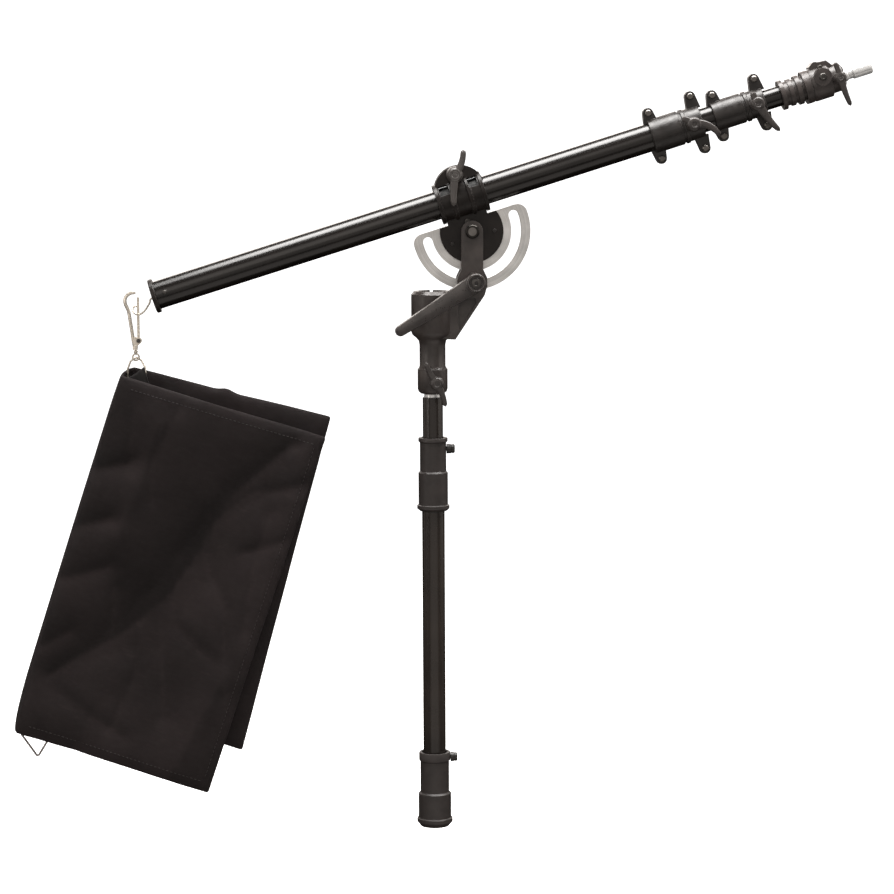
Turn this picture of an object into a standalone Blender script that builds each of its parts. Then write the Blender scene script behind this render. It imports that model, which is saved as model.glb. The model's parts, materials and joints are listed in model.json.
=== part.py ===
"""Telescopic boom arm on a two-section stand column, with a saddle bag as counterweight.

All sizes are in millimetres and are turned into metres when a shape is made.
The world origin is the bottom centre of the lower collar, on the column's axis, +Z up.
The boom lies in the XZ plane and its spigot end points toward +X.
"""

import math

import bmesh
import bpy
from mathutils import Matrix, Vector

# ---------------------------------------------------------------- driving dimensions
MM = 0.001
GAP = 0.3  # clearance between neighbouring solids

BOOM_ANGLE = 17.3  # degrees, spigot end up
PIVOT = (48.5, 743.0)  # x, z of the tilt axis
AXIS_OFFSET = 42.5  # tilt axis to boom axis

# boom tubes: outer radius, wall and the stretch along the boom, counted from the saddle
TUBE_1 = {"r": 17.5, "wall": 1.3, "start": -390.0, "end": 288.0}
TUBE_2 = {"r": 15.0, "wall": 1.3, "start": -240.0, "end": 370.0}
TUBE_3 = {"r": 12.5, "wall": 1.3, "start": -180.0, "end": 446.0}

# telescope collars: each clamps one tube and guides the next
COLLAR_1 = {
    "start": 244.0, "end": 309.0, "r": 21.3, "bore": 17.8, "guide": 15.3, "screw": 296.0,
    "ears": ((249.0, 29.0), (304.0, 33.0)),
}
COLLAR_2 = {
    "start": 324.0, "end": 390.0, "r": 18.6, "bore": 15.3, "guide": 12.8, "screw": 378.0,
    "ears": ((330.0, 26.0), (385.0, 29.5)),
}
EAR_R = 6.5
EAR_THICK = 5.0
SHELL_SPLIT = 0.4  # half of the slit between two half shells
BOLT_R = 2.2

# column
LOWER_TUBE_R = 14.0
UPPER_TUBE_R = 12.5
LOWER_TUBE = (4.0, 446.0)
UPPER_TUBE = (130.0, 539.0)
SPIGOT_R = 8.0
LOWER_COLLAR_BORE = 16.3
UPPER_COLLAR_BORE = 14.3
LOWER_KNOB_Z = 87.0
UPPER_KNOB_Z = 475.0

# head casting
CUP_R = 26.0
CUP_TOP = 670.0
CUP_BORE = 17.5
CUP_FLOOR = 622.0
HEAD_BOTTOM = 544.0
STUD_HOLE_TOP = 604.0
CHEEK_OUT = 15.6  # outer face of a cheek, from the boom's plane
CHEEK_IN = 6.6
ARM_R = 13.3
PIVOT_R = 5.0
BRAKE_R = 10.0  # friction faces on both sides of the plate's slot

# quadrant plate and saddle
PLATE_R = 72.5
PLATE_HALF = 2.0
PLATE_TOP = 15.0  # flat edge above the tilt axis
SLOT_R = 55.0
SLOT_HALF = 6.0
SLOT_OVER = 3.6  # degrees that the slot runs past the line through the tilt axis
CORNER_R = 12.0
DISC_R = 39.0
FLANGE_THICK = 4.0
SADDLE_HALF = 30.0
SADDLE_R = 23.0
SADDLE_BORE = 19.0
SADDLE_SCREW_Z = 30.0

# ratchet lever
LEVER_ANGLE = 212.0  # degrees in the XZ plane
LEVER_LENGTH = 110.0
LEVER_HUB_R = 11.5
LEVER_FRONT = -50.0
LEVER_BAR = (-46.0, -37.0)

# counterweight
HOOK_WIRE_R = 1.2
SNAP_WIRE_R = 2.2
RING_WIRE_R = 1.3
SNAP_RIVET = (-359.6, 612.1)
EYE_CENTRE = (-363.3, 592.0)
EYE_R = 4.0
EYE_WIRE_R = 1.1
POUCH_IN = 6.0
POUCH_OUT = 19.0
FRONT_POUCH = ((-378, 562), (-136, 486), (-278, 52), (-511, 130))
REAR_POUCH = ((-366, 572), (-130, 511), (-242, 96), (-488, 176))
LOWER_RING_BAR = ((-514.0, 127.0), (-480.0, 117.0))
LOWER_RING_APEX = (-493.0, 96.5)

COLOURS = {
    "black_anodised": ((0.012, 0.012, 0.013), 0.28, 0.9),
    "cast_black": ((0.022, 0.021, 0.021), 0.45, 0.3),
    "collar_plastic": ((0.045, 0.039, 0.036), 0.55, 0.0),
    "knob_plastic": ((0.02, 0.02, 0.02), 0.4, 0.0),
    "silver_plate": ((0.62, 0.62, 0.6), 0.42, 1.0),
    "dark_steel": ((0.16, 0.155, 0.15), 0.4, 1.0),
    "chrome": ((0.8, 0.8, 0.8), 0.08, 1.0),
    "nickel": ((0.68, 0.64, 0.58), 0.2, 1.0),
    "bush_plastic": ((0.03, 0.03, 0.032), 0.6, 0.0),
    "pad_rubber": ((0.02, 0.02, 0.02), 0.8, 0.0),
    "bag_nylon": ((0.014, 0.012, 0.012), 0.85, 0.0),
}

for old in list(bpy.data.objects):
    bpy.data.objects.remove(old)

PARTS = bpy.data.collections.new("boom_stand")
CUTTERS = bpy.data.collections.new("boom_stand_cutters")
bpy.context.scene.collection.children.link(PARTS)
bpy.context.scene.collection.children.link(CUTTERS)


# ---------------------------------------------------------------- small geometry helpers
def arc(cx, cy, radius, start, end, count):
    """Points on an arc, angles in degrees, both ends included."""
    points = []
    for i in range(count + 1):
        angle = math.radians(start + (end - start) * i / count)
        points.append((cx + radius * math.cos(angle), cy + radius * math.sin(angle)))
    return points


def polar(radius, degrees):
    angle = math.radians(degrees)
    return radius * math.cos(angle), radius * math.sin(angle)


def material(name):
    if name in bpy.data.materials:
        return bpy.data.materials[name]
    colour, roughness, metallic = COLOURS[name]
    made = bpy.data.materials.new(name)
    made.use_nodes = True
    shader = made.node_tree.nodes["Principled BSDF"]
    shader.inputs["Base Color"].default_value = (*colour, 1)
    shader.inputs["Roughness"].default_value = roughness
    shader.inputs["Metallic"].default_value = metallic
    return made


def empty(name, location, parent=None, y_turn=0.0):
    made = bpy.data.objects.new(name, None)
    made.location = Vector(location) * MM
    made.rotation_euler = (0, math.radians(y_turn), 0)
    made.parent = parent
    PARTS.objects.link(made)
    return made


def place(name, mesh, slot, parent, location):
    """A part when it has a material slot, otherwise a hidden helper for a Boolean."""
    made = bpy.data.objects.new(name, mesh)
    made.location = Vector(location) * MM
    made.parent = parent
    if slot:
        # the slot's own copy, so that every part can be recoloured alone
        own = material(slot).copy()
        own.name = f"{name}_{slot}"
        mesh.materials.append(own)
        PARTS.objects.link(made)
    else:
        CUTTERS.objects.link(made)
        made.hide_render = True
        made.display_type = "WIRE"
    return made


AXES = {
    "X": Matrix.Rotation(math.radians(90), 4, "Y"),
    "Y": Matrix.Rotation(math.radians(-90), 4, "X"),
    "Z": Matrix.Identity(4),
}


def turned(name, profile, slot=None, axis="Z", parent=None, location=(0, 0, 0), steps=32, ring=False):
    """A profile of (radius, height) points, from the top of its outer side down, spun about an axis."""
    mesh = bpy.data.meshes.new(name)
    verts = [(r * MM, 0, h * MM) for r, h in profile]
    edges = [(i, i + 1) for i in range(len(profile) - 1)]
    if ring:
        edges.append((len(profile) - 1, 0))
    mesh.from_pydata(verts, edges, [])
    made = place(name, mesh, slot, parent, location)
    made.rotation_euler = AXES[axis].to_euler()
    screw = made.modifiers.new("turn", "SCREW")
    screw.steps = steps
    screw.render_steps = steps
    screw.use_merge_vertices = True
    screw.merge_threshold = 0.00001
    return made


def tube(name, outer, inner, low, high, slot=None, **where):
    profile = ((outer, high), (outer, low), (inner, low), (inner, high))
    return turned(name, profile, slot, ring=True, **where)


def rod(name, radius, low, high, slot=None, axis="Z", parent=None, location=(0, 0, 0), steps=32):
    mesh = bpy.data.meshes.new(name)
    shape = bmesh.new()
    middle = AXES[axis] @ Matrix.Translation((0, 0, (low + high) / 2 * MM))
    size = {"radius1": radius * MM, "radius2": radius * MM, "depth": (high - low) * MM}
    bmesh.ops.create_cone(shape, cap_ends=True, segments=steps, matrix=middle, **size)
    shape.to_mesh(mesh)
    shape.free()
    return place(name, mesh, slot, parent, location)


def block(name, low, high, slot=None, parent=None):
    mesh = bpy.data.meshes.new(name)
    shape = bmesh.new()
    size = [(b - a) * MM for a, b in zip(low, high)]
    middle = [(a + b) / 2 * MM for a, b in zip(low, high)]
    bmesh.ops.create_cube(shape, size=1, matrix=Matrix.Translation(middle) @ Matrix.Diagonal((*size, 1)))
    shape.to_mesh(mesh)
    shape.free()
    return place(name, mesh, slot, parent, (0, 0, 0))


def as_mesh(source, name):
    """The evaluated shape of a curve as a welded mesh with its faces outward."""
    bpy.context.view_layer.update()
    evaluated = source.evaluated_get(bpy.context.evaluated_depsgraph_get())
    mesh = bpy.data.meshes.new_from_object(evaluated)
    mesh.name = name
    shape = bmesh.new()
    shape.from_mesh(mesh)
    bmesh.ops.remove_doubles(shape, verts=shape.verts, dist=0.000005)
    bmesh.ops.recalc_face_normals(shape, faces=shape.faces)
    shape.to_mesh(mesh)
    shape.free()
    mesh.materials.clear()
    bpy.data.objects.remove(source)
    return mesh


def plate(name, outline, low, high, slot=None, holes=(), parent=None, location=(0, 0, 0)):
    """A flat outline of (x, z) points, with holes, that fills from low to high along Y."""
    curve = bpy.data.curves.new(name, "CURVE")
    curve.dimensions = "2D"
    curve.fill_mode = "BOTH"
    curve.extrude = (high - low) / 2 * MM
    for loop in (outline, *holes):
        spline = curve.splines.new("POLY")
        spline.points.add(len(loop) - 1)
        spline.use_cyclic_u = True
        for point, (x, z) in zip(spline.points, loop):
            point.co = (x * MM, z * MM, 0, 1)
    source = bpy.data.objects.new(name, curve)
    CUTTERS.objects.link(source)
    mesh = as_mesh(source, name)
    stand_up = Matrix.Translation((0, (low + high) / 2 * MM, 0)) @ Matrix.Rotation(math.radians(90), 4, "X")
    mesh.transform(stand_up)
    return place(name, mesh, slot, parent, location)


def wire(name, points, radius, slot=None, closed=False, parent=None):
    """A round wire through (x, y, z) points."""
    curve = bpy.data.curves.new(name, "CURVE")
    curve.dimensions = "3D"
    curve.bevel_depth = radius * MM
    curve.bevel_resolution = 2
    curve.use_fill_caps = True
    spline = curve.splines.new("POLY")
    spline.points.add(len(points) - 1)
    spline.use_cyclic_u = closed
    for point, (x, y, z) in zip(spline.points, points):
        point.co = (x * MM, y * MM, z * MM, 1)
    source = bpy.data.objects.new(name, curve)
    CUTTERS.objects.link(source)
    return place(name, as_mesh(source, name), slot, parent, (0, 0, 0))


def smooth_path(points, count, closed=False):
    """A Catmull-Rom curve through the points, read at even steps."""
    total = len(points) if closed else len(points) - 1
    out = []
    for i in range(total * count + (0 if closed else 1)):
        k, t = divmod(i, count)
        t = t / count
        if closed:
            a, b, c, d = (Vector(points[(k + n - 1) % len(points)]) for n in range(4))
        else:
            last = len(points) - 1
            a, b, c, d = (Vector(points[min(max(k + n - 1, 0), last)]) for n in range(4))
        at = 2 * b + (c - a) * t + (2 * a - 5 * b + 4 * c - d) * t**2 + (3 * b - a - 3 * c + d) * t**3
        out.append(tuple(at * 0.5))
    return out


def combine(target, tool, operation):
    made = target.modifiers.new(tool.name, "BOOLEAN")
    made.operation = operation
    made.solver = "EXACT"
    made.object = tool


def cut(target, *tools):
    for tool in tools:
        combine(target, tool, "DIFFERENCE")


def join(target, *tools):
    for tool in tools:
        combine(target, tool, "UNION")


# ---------------------------------------------------------------- frames
tilt_pivot = empty("tilt_pivot", (PIVOT[0], 0, PIVOT[1]), y_turn=-BOOM_ANGLE)
boom = empty("boom_axis", (0, 0, AXIS_OFFSET), parent=tilt_pivot)


# ---------------------------------------------------------------- column
def thumb_knob(name, z, start, tip, body_end, end):
    """A thumbscrew along +X: screw, round body and a slightly narrower end."""
    profile = (
        (0, end), (4.6, end), (5.6, end - 1.0), (5.6, body_end + 0.4), (5.0, body_end),
        (6.0, body_end - 0.4), (6.0, start), (3.0, start), (3.0, tip), (0, tip),
    )
    turned(name, profile, "knob_plastic", axis="X", location=(0, 0, z), steps=14)


def lower_collar():
    profile = (
        (19.0, 94), (19.5, 93), (19.5, 84), (18.0, 82), (18.0, 43.5), (20.4, 41.5), (20.4, 11),
        (22.2, 10), (22.2, 5.5), (17.6, 0), (LOWER_COLLAR_BORE, 0), (LOWER_COLLAR_BORE, 94),
    )
    made = turned("lower_collar", profile, "collar_plastic", steps=28, ring=True)
    cut(made, rod("lower_screw_hole", 3.4, 8, 30, axis="X", location=(0, 0, LOWER_KNOB_Z), steps=16))
    tube("lower_guide_bush", 16.0, LOWER_TUBE_R + GAP, 52, 80, "bush_plastic", steps=20)
    thumb_knob("lower_knob", LOWER_KNOB_Z, 19.9, LOWER_TUBE_R + GAP, 24.4, 28.4)


def upper_collar():
    profile = (
        (17.6, 489), (18.1, 488), (18.1, 484.5), (16.3, 483), (16.3, 447.5), (18.2, 445.5),
        (18.2, 406), (20.0, 405), (20.0, 401), (16.4, 398), (UPPER_COLLAR_BORE, 398),
        (UPPER_COLLAR_BORE, 489),
    )
    made = turned("upper_collar", profile, "collar_plastic", steps=28, ring=True)
    cut(made, rod("upper_screw_hole", 3.4, 8, 30, axis="X", location=(0, 0, UPPER_KNOB_Z), steps=16))
    tube("upper_guide_bush", 14.0, UPPER_TUBE_R + GAP, 448, 468, "bush_plastic", steps=20)
    thumb_knob("upper_knob", UPPER_KNOB_Z, 16.9, UPPER_TUBE_R + GAP, 22.6, 26.8)


def column_tubes():
    tube("column_tube_lower", LOWER_TUBE_R, LOWER_TUBE_R - 1.1, *LOWER_TUBE, "black_anodised", steps=28)
    tube("column_tube_upper", UPPER_TUBE_R, UPPER_TUBE_R - 1.3, *UPPER_TUBE, "black_anodised", steps=28)
    profile = (
        (0, 600), (7.2, 600), (SPIGOT_R, 599), (SPIGOT_R, 592), (6.6, 590), (6.6, 582), (SPIGOT_R, 580),
        (SPIGOT_R, 543), (10.6, 543), (10.6, 539 + GAP), (9.8, 539 + GAP), (9.8, 510), (0, 510),
    )
    turned("stand_spigot", profile, "chrome", steps=20)


# ---------------------------------------------------------------- head
def head_casting():
    """Stand receiver, cup with an open bore, and the fork that carries the tilt pivot."""
    px, pz = PIVOT
    profile = (
        (0, CUP_TOP - 0.2), (22.6, CUP_TOP), (CUP_R, CUP_TOP - 4), (CUP_R, 620), (24.6, 616.5), (20, 612.5),
        (17, 609), (16, 604), (16, 578), (16.8, 576), (18.5, 574), (18.5, 550), (17.3, 546.2),
        (14.5, HEAD_BOTTOM), (0, HEAD_BOTTOM),
    )
    made = turned("head_casting", profile, "cast_black", steps=36)
    arm = [(6, 612), (27.5, 611), (63.5, 665), (66.8, 676), (66.6, 687), (61.8, 697)]
    arm += arc(px, pz, ARM_R, 1, 179, 13)
    arm += [(35.2, 697), (30.4, 687), (30.0, 678), (25, 666), (6, 664)]
    fork = plate("fork_body", arm, -CHEEK_OUT, CHEEK_OUT)
    gap_place = {"axis": "Y", "location": (px, 0, pz), "steps": 50}
    fork_gap = rod("fork_gap", PLATE_R + 2, -CHEEK_IN, CHEEK_IN, **gap_place)
    # the rear cheek keeps a boss that meets the plate beside its slot
    boss_place = {"axis": "Y", "location": (px, 0, pz - SLOT_R), "steps": 20}
    cut(fork_gap, rod("brake_boss", BRAKE_R, PLATE_HALF + GAP, CHEEK_IN + 3, **boss_place))
    for side in (-1, 1):
        near, far = sorted((side * (CHEEK_OUT - 3), side * (CHEEK_OUT + 3)))
        pocket = [(31, 628), (33, 622), (54, 656), (52, 662), (34, 660), (31, 656)]
        cut(fork, plate(f"web_pocket_{side}", pocket, near, far))
    cut(fork, fork_gap)
    join(made, fork)
    cut(made, rod("cup_bore", CUP_BORE, CUP_FLOOR, CUP_TOP + 20, steps=36))
    cut(made, block("cup_slit", (-2, 12, 642), (2, 40, CUP_TOP + 20)))
    cut(made, rod("stud_hole", SPIGOT_R + GAP, HEAD_BOTTOM - 20, STUD_HOLE_TOP, steps=28))
    pivot_hole = rod("pivot_hole", PIVOT_R + GAP, -30, 30, axis="Y", location=(px, 0, pz), steps=24)
    clamp_hole = rod("clamp_hole", PIVOT_R, -30, 30, axis="Y", location=(px, 0, pz - SLOT_R), steps=24)
    screw_hole = rod("receiver_screw_hole", 3.4, -30, 0, axis="Y", location=(4, 0, 558), steps=16)
    cut(made, pivot_hole, clamp_hole, screw_hole)


def pivot_hardware():
    px, pz = PIVOT
    bolt = (
        (0, 15.4), (PIVOT_R, 15.4), (PIVOT_R, -15.9), (8.6, -15.9), (8.6, -20.4), (7.4, -21.4),
        (0, -21.4),
    )
    turned("pivot_bolt", bolt, "dark_steel", axis="Y", location=(px, 0, pz), steps=18)
    nut = ((0, 22), (7.4, 22), (8.6, 21), (8.6, 15.9), (0, 15.9))
    turned("pivot_nut", nut, "dark_steel", axis="Y", location=(px, 0, pz), steps=6)
    clamp = ((0, 22.5), (8.4, 22.5), (9.6, 21.5), (9.6, 15.9), (4.7, 15.9), (4.7, -36), (0, -36))
    where = {"axis": "Y", "location": (px, 0, pz - SLOT_R), "steps": 20}
    turned("clamp_bolt", clamp, "dark_steel", **where)
    tube("brake_washer", BRAKE_R, 5.0, GAP - CHEEK_IN, -GAP - PLATE_HALF, "pad_rubber", **where)


def ratchet_lever():
    px, pz = PIVOT
    centre = (px, 0, pz - SLOT_R)
    neck = LEVER_HUB_R - 1
    hub = (
        (0, -16), (neck, -16), (neck, -30), (LEVER_HUB_R, -32), (LEVER_HUB_R, LEVER_FRONT + 1),
        (neck, LEVER_FRONT), (0, LEVER_FRONT),
    )
    made = turned("ratchet_lever", hub, "knob_plastic", axis="Y", location=centre, steps=32)
    tip_x, tip_z = polar(LEVER_LENGTH, LEVER_ANGLE)
    bar = arc(0, 0, 10.3, LEVER_ANGLE - 90 - 3, LEVER_ANGLE - 270 + 3, 8)
    bar += arc(tip_x, tip_z, 5.4, LEVER_ANGLE + 90 - 3, LEVER_ANGLE - 90 + 3, 8)
    join(made, plate("lever_bar", bar, *LEVER_BAR, location=centre))
    where = {"axis": "Y", "location": centre}
    cut(made, rod("lever_bore", 5.0, -38, 0, steps=20, **where))
    cut(made, rod("lever_recess", 8.2, LEVER_FRONT - 10, LEVER_FRONT + 3, steps=28, **where))
    cut(made, rod("lever_screw_hole", 2.6, LEVER_FRONT - 10, -36, steps=14, **where))
    seat = LEVER_FRONT + 3 - GAP
    screw = (
        (0, -38.5), (2.3, -38.5), (2.3, seat), (4.6, seat), (4.6, -49), (4.0, -49.6), (0, -49.6),
    )
    turned("lever_screw", screw, "dark_steel", steps=20, **where)


def wing(name, centre, blades, hub_r, hub, blade, screw_r, screw_tip, parent=None):
    """A wing knob along -Y: round hub, its screw, and blades given as (degrees, length)."""
    back, front = hub
    profile = (
        (0, screw_tip), (screw_r, screw_tip), (screw_r, back), (hub_r - 0.8, back), (hub_r, back - 1),
        (hub_r - 1, front + 1), (hub_r - 2.4, front), (0, front),
    )
    made = turned(name, profile, "knob_plastic", axis="Y", parent=parent, location=centre, steps=18)
    for k, (degrees, length) in enumerate(blades):
        tip_x, tip_z = polar(length - 3, degrees)
        root = [polar(4.6, degrees + side) for side in (-90, 90)]
        outline = root + arc(tip_x, tip_z, 3.0, degrees + 90, degrees - 90, 6)
        join(made, plate(f"{name}_blade_{k}", outline, *blade, parent=parent, location=centre))
    return made


def receiver_wing():
    blades = ((112, 23), (292, 27))
    wing("receiver_wing", (4, 0, 558), blades, 8.5, (-19, -32), (-31.5, -24), 3.1, -SPIGOT_R - GAP)


# ---------------------------------------------------------------- saddle, in the boom's frame
def saddle_jaw(name, side):
    """One clamp jaw: ribbed half shell, top lug over the tube, and the half disc on the plate."""
    rib, half = SADDLE_R + 2.0, SADDLE_HALF
    profile = (
        (0, half), (rib, half), (rib, 26), (SADDLE_R, 25), (SADDLE_R, 14), (rib, 13), (rib, 9),
        (SADDLE_R, 8), (SADDLE_R, -8), (rib, -9), (rib, -13), (SADDLE_R, -14), (SADDLE_R, -25),
        (rib, -26), (rib, -half), (0, -half),
    )
    made = turned(name, profile, "cast_black", axis="X", parent=boom, steps=32)

    near, far = sorted((side * 4.0, side * 12.0))
    lug = arc(1, 9, 31.5, 5, 175, 16)
    join(made, plate(f"{name}_lug", lug, near, far, parent=boom))
    near, far = sorted((side * (PLATE_HALF + GAP), side * (PLATE_HALF + GAP + FLANGE_THICK)))
    flat = PLATE_TOP - AXIS_OFFSET
    edge = math.degrees(math.asin(PLATE_TOP / DISC_R))
    flange = [(25, -12), (25, flat)] + arc(0, -AXIS_OFFSET, DISC_R, edge, -180 - edge, 26)
    flange += [(-25, flat), (-25, -12)]
    join(made, plate(f"{name}_flange", flange, near, far, parent=boom))

    other = (-60, -SHELL_SPLIT, -90), (60, 60, 90)
    if side > 0:
        other = (-60, -60, -90), (60, SHELL_SPLIT, 90)
    cut(made, block(f"{name}_split", *other, parent=boom))
    cut(made, rod(f"{name}_bore", SADDLE_BORE, -60, 60, axis="X", parent=boom, steps=36))
    for k, (start, end) in enumerate(((-24, -12), (12, 24))):
        near, far = sorted((side * 1.0, side * 40.0))
        cut(made, block(f"{name}_window_{k}", (start, near, 9.5), (end, far, 21.5), parent=boom))
    pivot_place = {"axis": "Y", "parent": boom, "location": (0, 0, -AXIS_OFFSET), "steps": 24}
    screw_place = {"axis": "Y", "parent": boom, "location": (0, 0, SADDLE_SCREW_Z), "steps": 20}
    cut(made, rod(f"{name}_pivot", PIVOT_R + GAP, -30, 30, **pivot_place))
    cut(made, rod(f"{name}_screw_hole", 4.3, -30, 30, **screw_place))

    near, far = sorted((side * -40.0, side * 1.5))
    pad_name = name.replace("saddle_jaw", "jaw_pad")
    along = {"axis": "X", "parent": boom}
    pad = tube(pad_name, SADDLE_BORE - GAP, TUBE_1["r"] + GAP, -27, 27, "pad_rubber", **along)
    cut(pad, block(f"{pad_name}_split", (-60, near, -40), (60, far, 40), parent=boom))


def slotted_plate():
    corner_z = PLATE_TOP - CORNER_R
    corner_x = math.sqrt((PLATE_R - CORNER_R) ** 2 - corner_z**2)
    corner = math.degrees(math.atan2(corner_z, corner_x))
    outline = arc(-corner_x, corner_z, CORNER_R, 180 - corner, 90, 6)
    outline += arc(corner_x, corner_z, CORNER_R, 90, corner, 6)
    outline += arc(0, 0, PLATE_R, corner, -180 - corner, 48)[1:-1]
    first, last = SLOT_OVER, -180 - SLOT_OVER
    slot = arc(0, 0, SLOT_R + SLOT_HALF, first, last, 40)
    slot += arc(*polar(SLOT_R, last), SLOT_HALF, last, last - 180, 6)[1:-1]
    slot += arc(0, 0, SLOT_R - SLOT_HALF, last, first, 40)
    slot += arc(*polar(SLOT_R, first), SLOT_HALF, first + 180, first, 6)[1:-1]
    holes = [slot, arc(0, 0, PIVOT_R + GAP, 0, 345, 23)]
    where = {"parent": boom, "location": (0, 0, -AXIS_OFFSET)}
    plate("slotted_plate", outline, -PLATE_HALF, PLATE_HALF, "silver_plate", holes=holes, **where)


def saddle_fastening():
    centre = (0, 0, SADDLE_SCREW_Z)
    blades = ((82, 31), (262, 38))
    wing("saddle_wing", centre, blades, 10.0, (-12.5, -34), (-33.5, -27), 3.9, 17, parent=boom)
    nut = ((9.0, 18), (9.0, 12.5), (5.0, 12.5), (5.0, 18))
    turned("saddle_nut", nut, "dark_steel", axis="Y", parent=boom, location=centre, steps=6, ring=True)


# ---------------------------------------------------------------- boom
def boom_tube(name, size):
    inner = size["r"] - size["wall"]
    where = {"axis": "X", "parent": boom, "steps": 36}
    tube(name, size["r"], inner, size["start"], size["end"], "black_anodised", **where)


def tube_plug(name, size):
    """A glide plug in the hidden end of an inner tube."""
    inner = size["r"] - size["wall"]
    start = size["start"]
    profile = (
        (0, start + 14), (inner - GAP, start + 14), (inner - GAP, start - GAP),
        (size["r"] + 0.6, start - GAP), (size["r"] + 0.6, start - 6), (0, start - 6),
    )
    turned(name, profile, "bush_plastic", axis="X", parent=boom, steps=16)


def ear_outline(at, height, mirror):
    """A tapered ear with a round tip, above the collar or, with mirror -1, below it."""
    outline = [(at + 10, 12), (at + 9, 15.5)] + arc(at, height, EAR_R, 10, 170, 6)
    outline += [(at - 9, 15.5), (at - 10, 12)]
    return [(x, z * mirror) for x, z in outline]


def telescope_collar(name, size):
    """Two half shells with bolted ears round the end of a tube, and the bush for the next tube."""
    start, end, r = size["start"], size["end"], size["r"]
    step = start + 38
    profile = (
        (0, end), (r - 2.0, end), (r - 1.2, end - 1), (r - 1.2, step + 8), (r + 0.2, step + 7),
        (r + 0.2, step + 3.5), (r - 1.6, step + 3), (r - 1.6, step + 0.5), (r, step),
        (r, start + 1), (r - 1, start), (0, start),
    )
    for part, side in (("front", -1), ("rear", 1)):
        full = f"{name}_{part}"
        made = turned(full, profile, "cast_black", axis="X", parent=boom, steps=28)
        near, far = sorted((side * -2, side * (SHELL_SPLIT + EAR_THICK)))
        for k, (at, height) in enumerate(size["ears"]):
            for mirror in (1, -1):
                label = f"{full}_ear_{k}_{mirror}"
                join(made, plate(label, ear_outline(at, height, mirror), near, far, parent=boom))
        other = (start - 9, -SHELL_SPLIT, -60), (end + 9, 60, 60)
        if side > 0:
            other = (start - 9, -60, -60), (end + 9, SHELL_SPLIT, 60)
        cut(made, block(f"{full}_split", *other, parent=boom))
        cut(made, rod(f"{full}_bore", size["bore"], start - 20, end + 20, axis="X", parent=boom, steps=32))
        for k, (at, height) in enumerate(size["ears"]):
            for z in (height, -height):
                where = {"axis": "Y", "parent": boom, "location": (at, 0, z), "steps": 12}
                cut(made, rod(f"{full}_hole_{k}_{z}", BOLT_R + GAP, -20, 20, **where))
        if side < 0:
            where = {"axis": "Y", "parent": boom, "location": (size["screw"], 0, 0), "steps": 16}
            cut(made, rod(f"{full}_screw_hole", 3.5, -40, -5, **where))

    head = SHELL_SPLIT + EAR_THICK + GAP
    bolt = (
        (0, head + 3.4), (3.8, head + 3.4), (3.8, head), (BOLT_R, head), (BOLT_R, -head),
        (4.3, -head), (4.3, -head - 2.6), (3.2, -head - 3.6), (0, -head - 3.6),
    )
    places = [(at, z) for at, height in size["ears"] for z in (height, -height)]
    for k, (at, z) in enumerate(places):
        where = {"axis": "Y", "parent": boom, "location": (at, 0, z), "steps": 8}
        turned(f"{name}_bolt_{k + 1}", bolt, "dark_steel", **where)
    where = {"axis": "X", "parent": boom, "steps": 20}
    low, high = size["screw"] + 4.5, end - 1.5
    tube(f"{name}_bush", size["bore"] - GAP, size["guide"], low, high, "bush_plastic", **where)


def telescope_wing(name, size, blades):
    centre = (size["screw"], 0, 0)
    back = -size["r"] - 0.4
    hub = (back, back - 13)
    tip = -size["guide"]
    wing(name, centre, blades, 9.0, hub, (back - 12.5, back - 5), 3.1, tip, parent=boom)


def end_cap():
    start = TUBE_1["start"]
    inner = TUBE_1["r"] - TUBE_1["wall"]
    profile = (
        (0, start + 16), (inner - GAP, start + 16), (inner - GAP, start - GAP),
        (20.6, start - GAP), (21.2, start - 1.0), (21.2, start - 5), (20.4, start - 5.8),
        (0, start - 5.8),
    )
    made = turned("boom_end_cap", profile, "knob_plastic", axis="X", parent=boom, steps=28)
    where = {"axis": "X", "parent": boom, "location": (0, 0, -2), "steps": 12}
    cut(made, rod("hook_hole", HOOK_WIRE_R + 0.9, start - 20, start + 8, **where))


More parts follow.
